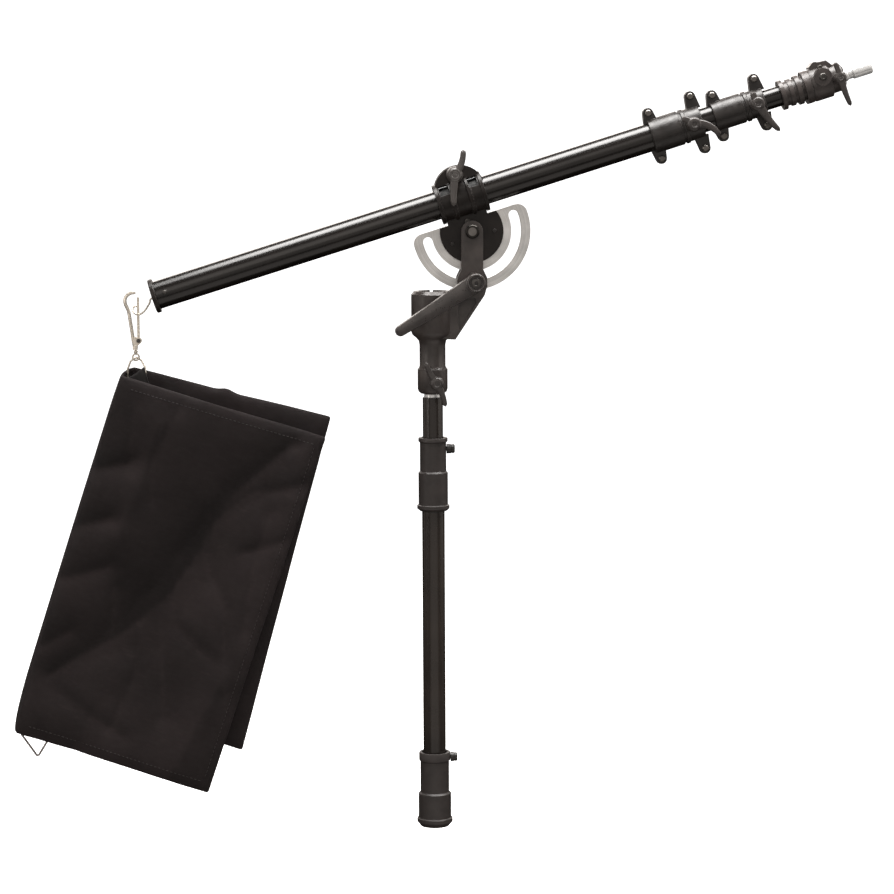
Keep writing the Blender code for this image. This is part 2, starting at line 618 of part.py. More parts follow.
def boom_head_end():
    """Ribbed reducer, spigot hub and the spigot at the high end of the boom."""
    ribs = ((411, 416, 18.5), (422, 427, 16.8), (431.5, 437, 18.2), (441, 449.5, 20.4))
    profile = [(14.2, 449.5)]
    for k, (low, high, r) in enumerate(reversed(ribs)):
        profile += [(r, high), (r, low)]
        if k < len(ribs) - 1:
            profile += [(15.0, low), (15.0, ribs[-2 - k][1])]
    profile += [(TUBE_3["r"] + GAP, 411), (TUBE_3["r"] + GAP, 447), (14.2, 447)]
    turned("ribbed_reducer", profile, "cast_black", axis="X", parent=boom, steps=24, ring=True)

    hub_profile = (
        (0, 493), (12.0, 493), (16.2, 490.5), (17.4, 486), (17.4, 476), (20.6, 474), (20.6, 453),
        (19.4, 450), (0, 450),
    )
    made = turned("end_hub", hub_profile, "cast_black", axis="X", parent=boom, steps=28)
    lug = [(453, 10), (453, 22.5)] + arc(461, 21.5, 5.6, 135, 45, 4) + [(476, 24.5), (482, 16), (482, 8)]
    join(made, plate("hub_lug", lug, -9, 9, parent=boom))
    boss_place = {"axis": "Y", "parent": boom, "location": (464.5, 0, 7), "steps": 20}
    join(made, rod("hub_boss", 11.0, -22.5, -6, **boss_place))
    cut(made, rod("stud_bore", SPIGOT_R + GAP, 458, 540, axis="X", parent=boom, steps=28))
    where = {"axis": "Y", "parent": boom, "location": (484, 0, 0), "steps": 16}
    cut(made, rod("hub_screw_hole", 3.5, -40, -5, **where))
    blades = ((75, 19), (262, 35))
    tip = -SPIGOT_R - GAP
    wing("hub_wing", (484, 0, 0), blades, 7.5, (-17.8, -30), (-29.5, -24), 3.1, tip, parent=boom)

    stud = (
        (0, 529), (6.6, 529), (SPIGOT_R, 527.6), (SPIGOT_R, 505), (6.6, 503.5), (6.6, 498),
        (SPIGOT_R, 496.5), (SPIGOT_R, 459), (0, 459),
    )
    turned("boom_stud", stud, "chrome", axis="X", parent=boom, steps=24)


# ---------------------------------------------------------------- counterweight
def wire_hook():
    """Bent wire from the cap's face, down and round the gate of the snap hook."""
    along = Vector((math.cos(math.radians(BOOM_ANGLE)), 0, math.sin(math.radians(BOOM_ANGLE))))
    up = Vector((-along.z, 0, along.x))
    face = Vector((PIVOT[0], 0, PIVOT[1])) + up * (AXIS_OFFSET - 2) + along * TUBE_1["start"]
    route = [
        tuple(face + along * 6), tuple(face - along * 8), (-345.5, -1.0, 658.0),
        (-351.3, -2.6, 649.0), (-357.3, -3.2, 644.5), (-362.8, -3.0, 645.1), (-366.4, 0.0, 649.1),
        (-365.0, 3.0, 653.3), (-360.3, 3.3, 654.3),
    ]
    wire("wire_hook", smooth_path(route, 3), HOOK_WIRE_R, "nickel")


def snap_hook():
    """Snap hook: curved body with a forked lug, sprung gate on its rivet, and the swivel eye."""
    x, z = SNAP_RIVET
    bend = [
        (-362.4, 0, 670.9), (-367.4, 0, 670.7), (-372.4, 0, 667.9), (-375.4, 0, 662.9),
        (-374.8, 0, 656.3), (-371.4, 0, 649.1), (-369.6, 0, 637.5), (-367.4, 0, 622.5),
        (-366.0, 0, 611.5), (-364.4, 0, 604.0),
    ]
    made = wire("snap_body", smooth_path(bend, 2), SNAP_WIRE_R, "nickel")
    lug = arc(x, z, 4.0, -60, 100, 7) + [(-365.3, 617.0), (-366.8, 608.5), (-363.8, 603.0)]
    for side in (-1, 1):
        near, far = sorted((side * 1.6, side * 3.0))
        cheek = plate(f"snap_lug_{side}", lug, near, far)
        cut(cheek, rod(f"snap_lug_hole_{side}", 1.9, -9, 9, axis="Y", location=(x, 0, z), steps=12))
        join(made, cheek)
    barrel = ((0, 606.0), (3.2, 606.0), (3.2, 601.0), (0, 601.0))
    barrel_place = (EYE_CENTRE[0] - 0.6, 0, 0)
    join(made, turned("swivel_barrel", barrel, location=barrel_place, steps=16))
    cut(made, rod("swivel_hole", 1.7, 592.5, 604.5, location=(EYE_CENTRE[0], 0, 0), steps=12))
    rivet = (
        (0, 3.9), (2.6, 3.9), (2.6, 3.3), (1.5, 3.3), (1.5, -3.3), (2.6, -3.3), (2.6, -3.9),
        (0, -3.9),
    )
    turned("gate_rivet", rivet, "dark_steel", axis="Y", location=(x, 0, z), steps=12)
    gate = arc(0, 0, 3.3, 120, 420, 12) + [(1.5, 52), (0, 54), (-1.5, 52)]
    hole = arc(0, 0, 1.8, 0, 330, 11)
    plate("snap_gate", gate, -1.3, 1.3, "nickel", holes=[hole], location=(x, 0, z))

    ring = [(ex, 0, ez) for ex, ez in arc(*EYE_CENTRE, EYE_R, 0, 337.5, 15)]
    eye = wire("swivel_eye", ring, EYE_WIRE_R, "nickel", closed=True)
    pin = (
        (0, 603.9), (1.3, 603.9), (1.3, 600.3), (2.6, 599.9), (2.6, 598.1), (1.2, 596.1),
        (0, 596.1),
    )
    join(eye, turned("eye_pin", pin, location=(EYE_CENTRE[0], 0, 0), steps=12))


def bag():
    """Saddle bag: two flat pouches that hang from one webbing fold, with a wire ring at each end."""
    plate("bag_front_pouch", FRONT_POUCH, -POUCH_OUT, -POUCH_IN, "bag_nylon")
    plate("bag_rear_pouch", REAR_POUCH, POUCH_IN, POUCH_OUT, "bag_nylon")
    fold = [
        (-370, 575.5), (-357, 575.5), (-349, 554), (-474, 158), (-488, 137), (-491, 114),
        (-504, 118), (-506, 141), (-501, 158), (-375, 552),
    ]
    spine = plate("bag_spine", fold, -POUCH_IN + GAP, POUCH_IN - GAP, "bag_nylon")
    top = wire("top_bar_hole", [(-385.8, 0, 561.7), (-339.8, 0, 574.1)], 2.1)
    low, high = LOWER_RING_BAR
    start = Vector((low[0], 0, low[1]))
    along = (Vector((high[0], 0, high[1])) - start).normalized()
    bottom = wire("bottom_bar_hole", [tuple(start - along * 10), tuple(start + along * 50)], 2.1)
    cut(spine, top, bottom)
    ring = [
        (-373.8, 0, 564.9), (-373.4, -1.8, 577.5), (-369.8, -3.6, 587.1), (-365.4, -3.1, 590.5),
        (-363.3, 0, 591.3), (-361.2, 3.1, 590.5), (-356.8, 3.6, 587.7), (-352.6, 1.8, 579.5),
        (-351.8, 0, 570.9),
    ]
    wire("upper_ring", ring, RING_WIRE_R, "nickel", closed=True)
    corners = (low, high, LOWER_RING_APEX)
    triangle = [(cx, 0, cz) for cx, cz in corners]
    wire("lower_ring", triangle, RING_WIRE_R, "nickel", closed=True)


def finish_meshes():
    """Keep each part's evaluated shape, smooth where it is round and sharp at its edges."""
    bpy.context.view_layer.update()
    depsgraph = bpy.context.evaluated_depsgraph_get()
    made = {}
    for part in PARTS.objects:
        if part.type == "MESH":
            made[part] = bpy.data.meshes.new_from_object(part.evaluated_get(depsgraph))
    for part, mesh in made.items():
        part.modifiers.clear()
        part.data = mesh
        mesh.shade_smooth()
        mesh.set_sharp_from_angle(angle=math.radians(32))


lower_collar()
column_tubes()
upper_collar()
head_casting()
pivot_hardware()
ratchet_lever()
receiver_wing()
saddle_jaw("saddle_jaw_front", -1)
saddle_jaw("saddle_jaw_rear", 1)
slotted_plate()
saddle_fastening()
boom_tube("boom_tube_1", TUBE_1)
boom_tube("boom_tube_2", TUBE_2)
boom_tube("boom_tube_3", TUBE_3)
tube_plug("tube_2_plug", TUBE_2)
tube_plug("tube_3_plug", TUBE_3)
telescope_collar("collar_1", COLLAR_1)
telescope_collar("collar_2", COLLAR_2)
telescope_wing("collar_1_wing", COLLAR_1, ((-18, 24), (162, 15)))
telescope_wing("collar_2_wing", COLLAR_2, ((-75, 33), (105, 15)))
end_cap()
boom_head_end()
wire_hook()
snap_hook()
bag()
finish_meshes()
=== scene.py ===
"""Looks of the telescopic boom stand: materials, soft bag, small hardware, studio and camera.

Lengths are in metres where no comment or helper says millimetres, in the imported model's frame:
+Z up the column, +X toward the boom's spigot, -Y toward the front.
"""

import json
import math
import random

import bmesh
import bpy
from mathutils import Matrix, Vector
from mathutils.bvhtree import BVHTree


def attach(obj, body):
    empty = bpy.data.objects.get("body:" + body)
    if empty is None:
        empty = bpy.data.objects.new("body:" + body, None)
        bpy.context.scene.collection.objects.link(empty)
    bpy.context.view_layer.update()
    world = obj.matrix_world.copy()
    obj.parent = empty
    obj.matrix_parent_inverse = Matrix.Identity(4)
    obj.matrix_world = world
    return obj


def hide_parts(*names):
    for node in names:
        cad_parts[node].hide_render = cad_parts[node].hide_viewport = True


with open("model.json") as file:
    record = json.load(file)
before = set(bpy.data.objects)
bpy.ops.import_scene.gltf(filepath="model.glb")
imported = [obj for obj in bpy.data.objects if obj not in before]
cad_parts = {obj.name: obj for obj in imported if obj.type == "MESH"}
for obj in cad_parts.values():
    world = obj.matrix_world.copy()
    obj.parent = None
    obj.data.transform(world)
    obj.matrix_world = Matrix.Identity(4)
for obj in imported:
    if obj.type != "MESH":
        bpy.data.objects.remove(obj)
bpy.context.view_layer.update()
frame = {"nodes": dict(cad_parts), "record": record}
NODES = frame["nodes"]
SLOT_OF = {row["node"]: row["material_slot"] for row in frame["record"]["subparts"]}

MM = 0.001
BOOM_ANGLE = math.radians(17.3)
PIVOT = Vector((0.0485, 0.0, 0.743))  # tilt axis
AXIS_OFFSET = 0.0425  # from the tilt axis up to the boom's own axis
ABOVE = Vector((-math.sin(BOOM_ANGLE), 0, math.cos(BOOM_ANGLE)))
TO_BOOM = Matrix.Translation(PIVOT + ABOVE * AXIS_OFFSET) @ Matrix.Rotation(-BOOM_ANGLE, 4, "Y")


# ---------------------------------------------------------------- node helpers
class Surface:
    """A Principled material that is built up from noise, scratches, worn edges and bumps."""

    def __init__(self, name, colour, roughness, metallic=0.0, turn=0.0):
        self.made = bpy.data.materials.new(name)
        self.made.use_nodes = True
        self.tree = self.made.node_tree
        self.shader = self.tree.nodes["Principled BSDF"]
        self.shader.inputs["Metallic"].default_value = metallic
        self.colour = (*colour, 1)
        self.roughness = roughness
        self.bump = None
        where = self.add("ShaderNodeTexCoord")
        place = self.add("ShaderNodeMapping")
        place.inputs["Rotation"].default_value = (0, turn, 0)
        self.link(where.outputs["Object"], place.inputs["Vector"])
        self.place = place.outputs["Vector"]
        self.tint = None
        self.gloss = None
        self.soft_normal = None

    def add(self, kind, **settings):
        made = self.tree.nodes.new(kind)
        for key, value in settings.items():
            setattr(made, key, value)
        return made

    def link(self, a, b):
        self.tree.links.new(a, b)

    def stretched(self, scale):
        node = self.add("ShaderNodeMapping")
        node.inputs["Scale"].default_value = scale
        self.link(self.place, node.inputs["Vector"])
        return node.outputs["Vector"]

    def noise(self, scale, detail=3.0, stretch=(1, 1, 1)):
        node = self.add("ShaderNodeTexNoise")
        node.inputs["Scale"].default_value = scale
        node.inputs["Detail"].default_value = detail
        self.link(self.stretched(stretch), node.inputs["Vector"])
        return node.outputs["Fac"]

    def ramp(self, source, low, high, first, last):
        """Map source, from low to high, to the colours or greys from first to last."""
        node = self.add("ShaderNodeValToRGB")
        node.color_ramp.elements[0].position = low
        node.color_ramp.elements[1].position = high
        for element, value in zip(node.color_ramp.elements, (first, last)):
            grey = isinstance(value, (int, float))
            element.color = (value, value, value, 1) if grey else (*value[:3], 1)
        self.link(source, node.inputs["Fac"])
        return node.outputs["Color"]

    def mix(self, factor, a, b, kind="MIX"):
        node = self.add("ShaderNodeMix", data_type="RGBA", blend_type=kind)
        for value, socket in ((factor, node.inputs[0]), (a, node.inputs[6]), (b, node.inputs[7])):
            if hasattr(value, "node"):
                self.link(value, socket)
            elif isinstance(value, (int, float)):
                grey = (value, value, value, 1)
                socket.default_value = value if socket == node.inputs[0] else grey
            else:
                socket.default_value = (*value[:3], 1)
        return node.outputs[2]

    def vary(self, source, low, high, darker, lighter):
        """Base colour between two brightnesses, as a mask says."""
        dark = [c * darker for c in self.colour[:3]]
        light = [c * lighter for c in self.colour[:3]]
        self.tint = self.ramp(source, low, high, dark, light)

    def rough(self, source, low, high, least, most):
        """Roughness between least and most, as a mask says."""
        self.gloss = self.ramp(source, low, high, least, most)

    def edges(self, width, colour, amount, roughness=None):
        """Tinted edges, where a rounded normal leaves the true one: a paler edge colour is partly
        rubbed wear and partly a painted edge highlight, a darker one is a painted edge shade.
        """
        soft = self.add("ShaderNodeBevel", samples=4)
        soft.inputs["Radius"].default_value = width
        true = self.add("ShaderNodeNewGeometry")
        dot = self.add("ShaderNodeVectorMath", operation="DOT_PRODUCT")
        self.link(soft.outputs["Normal"], dot.inputs[0])
        self.link(true.outputs["Normal"], dot.inputs[1])
        mask = self.ramp(dot.outputs["Value"], 0.86, 0.985, amount, 0.0)
        base = self.tint or self.colour
        self.tint = self.mix(mask, base, colour)
        if roughness is not None:
            self.gloss = self.mix(mask, self.gloss or self.roughness, roughness)
        self.soft_normal = soft.outputs["Normal"]

    def bumps(self, source, strength, distance):
        node = self.add("ShaderNodeBump")
        node.inputs["Strength"].default_value = strength
        node.inputs["Distance"].default_value = distance
        self.link(source, node.inputs["Height"])
        if self.bump is not None:
            self.link(self.bump, node.inputs["Normal"])
        elif self.soft_normal is not None:
            self.link(self.soft_normal, node.inputs["Normal"])
        self.bump = node.outputs["Normal"]

    def finish(self):
        results = ((self.tint, "Base Color"), (self.gloss, "Roughness"), (self.bump, "Normal"))
        for value, name in results:
            if value is not None:
                self.link(value, self.shader.inputs[name])
        if self.tint is None:
            self.shader.inputs["Base Color"].default_value = self.colour
        if self.gloss is None:
            self.shader.inputs["Roughness"].default_value = self.roughness
        return self.made


# ---------------------------------------------------------------- materials
ANODISED_BLACK = (0.0045, 0.0035, 0.0029)
HEX_RADIUS = (0.0048, 0.0056)  # the bright head fades into the dark washer face between these
RUBBED_BAND = (0.040, 0.047)  # clamp rub marks start between these distances from the tilt axis
WEAVE_TURN = math.radians(-19.5)  # the cloth's threads run along the bag's edges


def anodised(name, turn=0.0, axis="X", tone=1.0):
    """Glossy black anodised tube: fine drawing lines along it and a cloudy tone."""
    made = Surface(name, [part * tone for part in ANODISED_BLACK], 0.24, turn=turn)
    made.shader.inputs["Specular IOR Level"].default_value = 0.46
    lengthwise = (0.02, 1, 1) if axis == "X" else (1, 1, 0.02)
    lines = made.noise(900, 2, lengthwise)
    cloud = made.noise(14, 4)
    made.vary(cloud, 0.3, 0.75, 0.75, 1.7)
    made.rough(lines, 0.25, 0.8, 0.21, 0.28)
    # paler edges: partly worn and partly a painted edge highlight
    made.edges(0.0004, (0.08, 0.078, 0.076), 0.7)
    made.bumps(lines, 0.05, 0.00006)
    made.shader.inputs["Coat Weight"].default_value = 0.16
    made.shader.inputs["Coat Roughness"].default_value = 0.2
    return made.finish()


def cast_paint(name, colour, shine=0.5):
    """Die castings under satin black powder paint: orange peel, and paler edges that are partly
    rubbed paint and partly a painted edge highlight.
    """
    made = Surface(name, colour, 0.38)
    made.shader.inputs["Specular IOR Level"].default_value = shine
    peel = made.noise(620, 3)
    cloud = made.noise(55, 4)
    made.vary(cloud, 0.3, 0.72, 0.75, 1.5)
    made.rough(made.noise(180, 5), 0.3, 0.75, 0.3, 0.5)
    made.edges(0.0007, (0.075, 0.07, 0.067), 0.75, 0.32)
    made.bumps(peel, 0.22, 0.00025)
    return made.finish()


def moulded(name, colour, roughness, peel_scale, edge, tint_share=0.35):
    """Moulded plastic, rubber or tape: fine grain, and paler edges that are partly rubbed and
    partly a painted edge highlight.
    """
    made = Surface(name, colour, roughness)
    grain = made.noise(peel_scale, 2)
    made.vary(made.noise(70, 4), 0.3, 0.75, 0.78, 1.35)
    made.rough(made.noise(240, 4), 0.3, 0.75, roughness - 0.08, roughness + 0.1)
    made.edges(0.0006, edge, tint_share, roughness - 0.05)
    made.bumps(grain, 0.3, 0.00018)
    return made.finish()


def bare_metal(name, colour, roughness, edge, metallic=1.0, scale=400.0):
    """Plated or blackened metal: cloudy tone and fine uneven polish."""
    made = Surface(name, colour, roughness, metallic=metallic)
    lines = made.noise(scale, 3)
    made.vary(made.noise(90, 5), 0.3, 0.75, 0.84, 1.08)
    made.rough(lines, 0.25, 0.8, max(roughness - 0.07, 0.04), roughness + 0.1)
    # edge tint: a painted edge shade where the edge colour is darker than the metal; where it is
    # paler, partly rubbed wear and partly a painted edge highlight
    made.edges(0.0005, edge, 0.6)
    made.bumps(lines, 0.1, 0.00008)
    return made.finish()


def washer_steel():
    """Zinc hex head on a blackened washer face, both round the tilt axis."""
    made = Surface("zinc_hex", (0.19, 0.18, 0.17), 0.34, metallic=1.0)
    flat = made.add("ShaderNodeVectorMath", operation="MULTIPLY")
    made.link(made.place, flat.inputs[0])
    flat.inputs[1].default_value = (1, 0, 1)
    far = made.add("ShaderNodeVectorMath", operation="DISTANCE")
    made.link(flat.outputs["Vector"], far.inputs[0])
    far.inputs[1].default_value = PIVOT
    rim = made.add("ShaderNodeMapRange")
    rim.inputs["From Min"].default_value, rim.inputs["From Max"].default_value = HEX_RADIUS
    made.link(far.outputs["Value"], rim.inputs["Value"])
    made.vary(made.noise(120, 4), 0.3, 0.75, 0.8, 1.15)
    made.tint = made.mix(rim.outputs["Result"], made.tint, (0.03, 0.028, 0.026))
    made.rough(made.noise(500, 3), 0.3, 0.75, 0.28, 0.45)
    # darker edges: painted edge shade
    made.edges(0.0005, (0.1, 0.095, 0.09), 0.7)
    made.bumps(made.noise(700, 3), 0.15, 0.0001)
    return made.finish()


def tumbled_plate():
    """Slotted quadrant: tumbled aluminium with clamp rub marks in arcs round the tilt axis."""
    made = Surface("tumbled_aluminium", (0.86, 0.86, 0.85), 0.42, metallic=1.0)
    far = made.add("ShaderNodeVectorMath", operation="DISTANCE")
    made.link(made.place, far.inputs[0])
    far.inputs[1].default_value = PIVOT
    rings = made.add("ShaderNodeCombineXYZ")
    made.link(far.outputs["Value"], rings.inputs["X"])
    arcs = made.add("ShaderNodeTexNoise")
    arcs.inputs["Scale"].default_value = 1400
    arcs.inputs["Detail"].default_value = 2
    made.link(rings.outputs["Vector"], arcs.inputs["Vector"])
    grain = made.noise(900, 4)
    cloud = made.noise(38, 5)
    made.vary(cloud, 0.28, 0.78, 0.76, 1.12)
    tint_share = made.ramp(arcs.outputs["Fac"], 0.48, 0.72, 1.0, 0.62)
    band = made.add("ShaderNodeMapRange", interpolation_type="SMOOTHSTEP")
    band.inputs["From Min"].default_value, band.inputs["From Max"].default_value = RUBBED_BAND
    made.link(far.outputs["Value"], band.inputs["Value"])
    toned = made.mix(1.0, made.tint, tint_share, "MULTIPLY")
    made.tint = made.mix(band.outputs["Result"], made.tint, toned)
    made.rough(grain, 0.25, 0.8, 0.34, 0.56)
    # dark edges: painted shade along the plate's edges
    made.edges(0.0006, (0.16, 0.15, 0.14), 0.7, 0.4)
    made.bumps(grain, 0.2, 0.00012)
    return made.finish()


def nylon():
    """Plain-woven charcoal nylon: warp and weft bumps, slubs, dust, and painted light and shade on
    the folds.
    """
    made = Surface("woven_nylon", (0.0152, 0.0111, 0.0112), 0.78, turn=WEAVE_TURN)
    threads = []
    for direction in ("X", "Z"):
        wave = made.add("ShaderNodeTexWave", wave_type="BANDS", bands_direction=direction)
        wave.inputs["Scale"].default_value = 330
        wave.inputs["Distortion"].default_value = 0.6
        wave.inputs["Detail"].default_value = 1
        made.link(made.place, wave.inputs["Vector"])
        threads.append(wave.outputs["Fac"])
    weave = made.mix(1.0, threads[0], threads[1], "MULTIPLY")
    slubs = made.noise(190, 4, (0.3, 1, 1))
    dust = made.noise(11, 6)
    made.vary(dust, 0.32, 0.74, 0.8, 1.45)
    made.tint = made.mix(0.35, made.tint, made.mix(1.0, made.tint, weave, "MULTIPLY"))
    slub_mask = made.ramp(slubs, 0.56, 0.75, 0.0, 0.5)
    made.tint = made.mix(slub_mask, made.tint, (0.019, 0.0145, 0.0145))
    # painted light and shade on the folds: cloth that leans toward the upper left lighter, the rest
    # darker
    folds = made.add("ShaderNodeAttribute", attribute_name="folds")
    tint_share = made.ramp(folds.outputs["Fac"], 0.08, 0.92, 0.22, 0.78)
    made.tint = made.mix(1.0, made.tint, made.mix(tint_share, 0.35, 1.65), "MULTIPLY")
    made.rough(slubs, 0.3, 0.8, 0.68, 0.88)
    made.bumps(made.noise(13, 3), 0.45, 0.006)
    made.bumps(made.noise(60, 4), 0.4, 0.0014)
    made.bumps(weave, 0.5, 0.00035)
    made.shader.inputs["Specular IOR Level"].default_value = 0.16
    made.shader.inputs["Sheen Weight"].default_value = 0.015
    made.shader.inputs["Sheen Roughness"].default_value = 0.45
    return made.finish()


# painted castings: colour, specular level
CASTINGS = {
    "cast_black": ("cast_satin_black", (0.0105, 0.0084, 0.0074)),
    "cast_grey": ("cast_satin_grey", (0.0305, 0.0246, 0.0222)),
    "cast_dark": ("cast_deep_black", (0.0092, 0.007, 0.006), 0.26),
}
# moulded pieces: colour, roughness, grain scale, edge colour, how strongly the edges take it
# (partly rubbed wear and partly a painted edge highlight)
MOULDED = {
    "wing_plastic": (
        "wing_plastic_look", (0.0295, 0.0251, 0.0232), 0.33, 1100, (0.17, 0.16, 0.155), 0.75,
    ),
    # a lighter copy of the wing plastic: painted light for the saddle wing, lit from the top left
    "wing_painted_light": (
        "wing_pale_look", (0.042, 0.037, 0.034), 0.4, 1100, (0.3, 0.285, 0.27), 0.8,
    ),
    "collar_plastic": (
        "collar_plastic_look", (0.0188, 0.0145, 0.0132), 0.5, 1500, (0.06, 0.054, 0.05),
    ),
    "knob_plastic": (
        "knob_plastic_look", (0.0085, 0.0075, 0.007), 0.36, 1100, (0.07, 0.066, 0.062),
    ),
    "bush_plastic": ("bush_plastic_look", (0.012, 0.012, 0.012), 0.6, 1300, (0.04, 0.04, 0.04)),
    "pad_rubber": ("rubber_look", (0.009, 0.009, 0.009), 0.75, 900, (0.03, 0.03, 0.03)),
    "webbing": ("webbing_look", (0.0058, 0.0042, 0.0042), 0.8, 800, (0.012, 0.01, 0.01)),
    "thread": ("thread_look", (0.0125, 0.0086, 0.0085), 0.8, 2200, (0.018, 0.014, 0.014)),
}
# metals: colour, roughness, edge colour, metallic share, polish scale
METALS = {
    "dark_steel": ("blackened_steel", (0.11, 0.105, 0.1), 0.36, (0.2, 0.19, 0.18)),
    "bright_steel": ("zinc_steel", (0.17, 0.16, 0.15), 0.36, (0.06, 0.055, 0.05)),
    "ring_steel": ("ring_steel", (0.22, 0.2, 0.19), 0.36, (0.12, 0.11, 0.1), 0.6),
    "chrome": ("chrome_look", (0.8, 0.8, 0.79), 0.26, (0.3, 0.3, 0.29), 0.6, 300.0),
    "nickel": ("nickel_look", (0.76, 0.7, 0.61), 0.28, (0.2, 0.16, 0.12), 0.7, 500.0),
}
LOOKS = {
    "black_anodised": anodised("anodised_boom", BOOM_ANGLE, "X"),
    # the column's copy is painted 3.4 times lighter: painted light on the upright tubes
    "column_anodised": anodised("anodised_column", 0.0, "Z", tone=3.4),
    "silver_plate": tumbled_plate(),
    "zinc_hex": washer_steel(),
    "bag_nylon": nylon(),
}
for make, table in ((cast_paint, CASTINGS), (moulded, MOULDED), (bare_metal, METALS)):
    for key, values in table.items():
        LOOKS[key] = make(*values)


# ---------------------------------------------------------------- smoothing of the CAD nodes
WELD_DISTANCE = 0.000002


def smooth_group(angle):
    """Node group that welds triangles and shades them smooth up to an edge angle."""
    group = bpy.data.node_groups.new("smooth_by_angle", "GeometryNodeTree")
    group.interface.new_socket("Geometry", in_out="INPUT", socket_type="NodeSocketGeometry")
    group.interface.new_socket("Geometry", in_out="OUTPUT", socket_type="NodeSocketGeometry")
    start = group.nodes.new("NodeGroupInput")
    end = group.nodes.new("NodeGroupOutput")
    plain = group.nodes.new("GeometryNodeRemoveAttribute")
    plain.inputs["Name"].default_value = "custom_normal"
    weld = group.nodes.new("GeometryNodeMergeByDistance")
    weld.inputs["Distance"].default_value = WELD_DISTANCE
    faces = group.nodes.new("GeometryNodeSetShadeSmooth")
    faces.domain = "FACE"
    edges = group.nodes.new("GeometryNodeSetShadeSmooth")
    edges.domain = "EDGE"
    bend = group.nodes.new("GeometryNodeInputMeshEdgeAngle")
    gentle = group.nodes.new("FunctionNodeCompare")
    gentle.operation = "LESS_THAN"
    gentle.inputs[1].default_value = angle
    join = group.links.new
    join(start.outputs[0], plain.inputs["Geometry"])
    join(plain.outputs["Geometry"], weld.inputs["Geometry"])
    join(weld.outputs["Geometry"], faces.inputs["Geometry"])
    join(faces.outputs["Geometry"], edges.inputs["Geometry"])
    join(bend.outputs["Unsigned Angle"], gentle.inputs[0])
    join(gentle.outputs["Result"], edges.inputs["Shade Smooth"])
    join(edges.outputs["Geometry"], end.inputs[0])
    return group


SMOOTH = smooth_group(math.radians(32))
COLUMN_NODES = ("column_tube_lower", "column_tube_upper")
BRIGHT_NODES = ("pivot_nut", "clamp_bolt")
ONE_OFF = {
    "pivot_bolt": "zinc_hex",
    "head_casting": "cast_grey",
    "end_hub": "cast_grey",
    "ribbed_reducer": "cast_grey",
    "saddle_jaw_front": "cast_dark",
    "saddle_jaw_rear": "cast_dark",
    "boom_end_cap": "cast_dark",
}


def look_of(name):
    """A node's material: its own, or its group's, or its slot's in the record."""
    if name in COLUMN_NODES:
        return LOOKS["column_anodised"]
    if name in ONE_OFF:
        return LOOKS[ONE_OFF[name]]
    if name in BRIGHT_NODES or "_bolt_" in name:
        return LOOKS["bright_steel"]
    return LOOKS[SLOT_OF[name]]


for name, node in NODES.items():
    node.data.materials.clear()
    node.data.materials.append(look_of(name))
    smoother = node.modifiers.new("smooth", "NODES")
    smoother.node_group = SMOOTH


# ---------------------------------------------------------------- shapes in mesh code
def add_piece(name, shape, look, body, angle=35.0):
    """A finished bmesh in metres as a piece that rides on a body."""
    bmesh.ops.recalc_face_normals(shape, faces=shape.faces)
    mesh = bpy.data.meshes.new(name)
    shape.to_mesh(mesh)
    shape.free()
    mesh.shade_smooth()
    mesh.set_sharp_from_angle(angle=math.radians(angle))
    mesh.materials.append(look)
    made = bpy.data.objects.new(name, mesh)
    bpy.context.scene.collection.objects.link(made)
    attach(made, body)
    return made


def bridge(shape, low, high):
    """Quads between two closed rings of as many vertices."""
    for k in range(len(low)):
        n = (k + 1) % len(low)
        shape.faces.new((low[k], low[n], high[n], high[k]))


def capped_tube(shape, rings):
    """Quads along a row of rings, closed by a face at each end."""
    for low, high in zip(rings, rings[1:]):
        bridge(shape, low, high)
    shape.faces.new(rings[0])
    shape.faces.new(rings[-1])


def lathe(shape, profile, steps, at):
    """Spin (radius, height) points, in millimetres, round the Z axis of the frame at."""
    rings = []
    for r, h in profile:
        if r < 1e-6:
            rings.append([shape.verts.new(at @ Vector((0, 0, h * MM)))])
            continue
        ring = []
        for k in range(steps):
            a = 2 * math.pi * k / steps
            point = Vector((r * math.cos(a) * MM, r * math.sin(a) * MM, h * MM))
            ring.append(shape.verts.new(at @ point))
        rings.append(ring)
    for low, high in zip(rings, rings[1:]):
        for k in range(steps):
            n = (k + 1) % steps
            if len(low) == 1:
                shape.faces.new((low[0], high[k], high[n]))
            elif len(high) == 1:
                shape.faces.new((low[k], low[n], high[0]))
            else:
                shape.faces.new((low[k], low[n], high[n], high[k]))


ALONG_Y = Matrix.Rotation(math.radians(-90), 4, "X")
TIP_START = 0.86  # share of a blade's length where its rounded tip begins
SQUARED = 0.62  # below 1, an oval section swells toward a rectangle


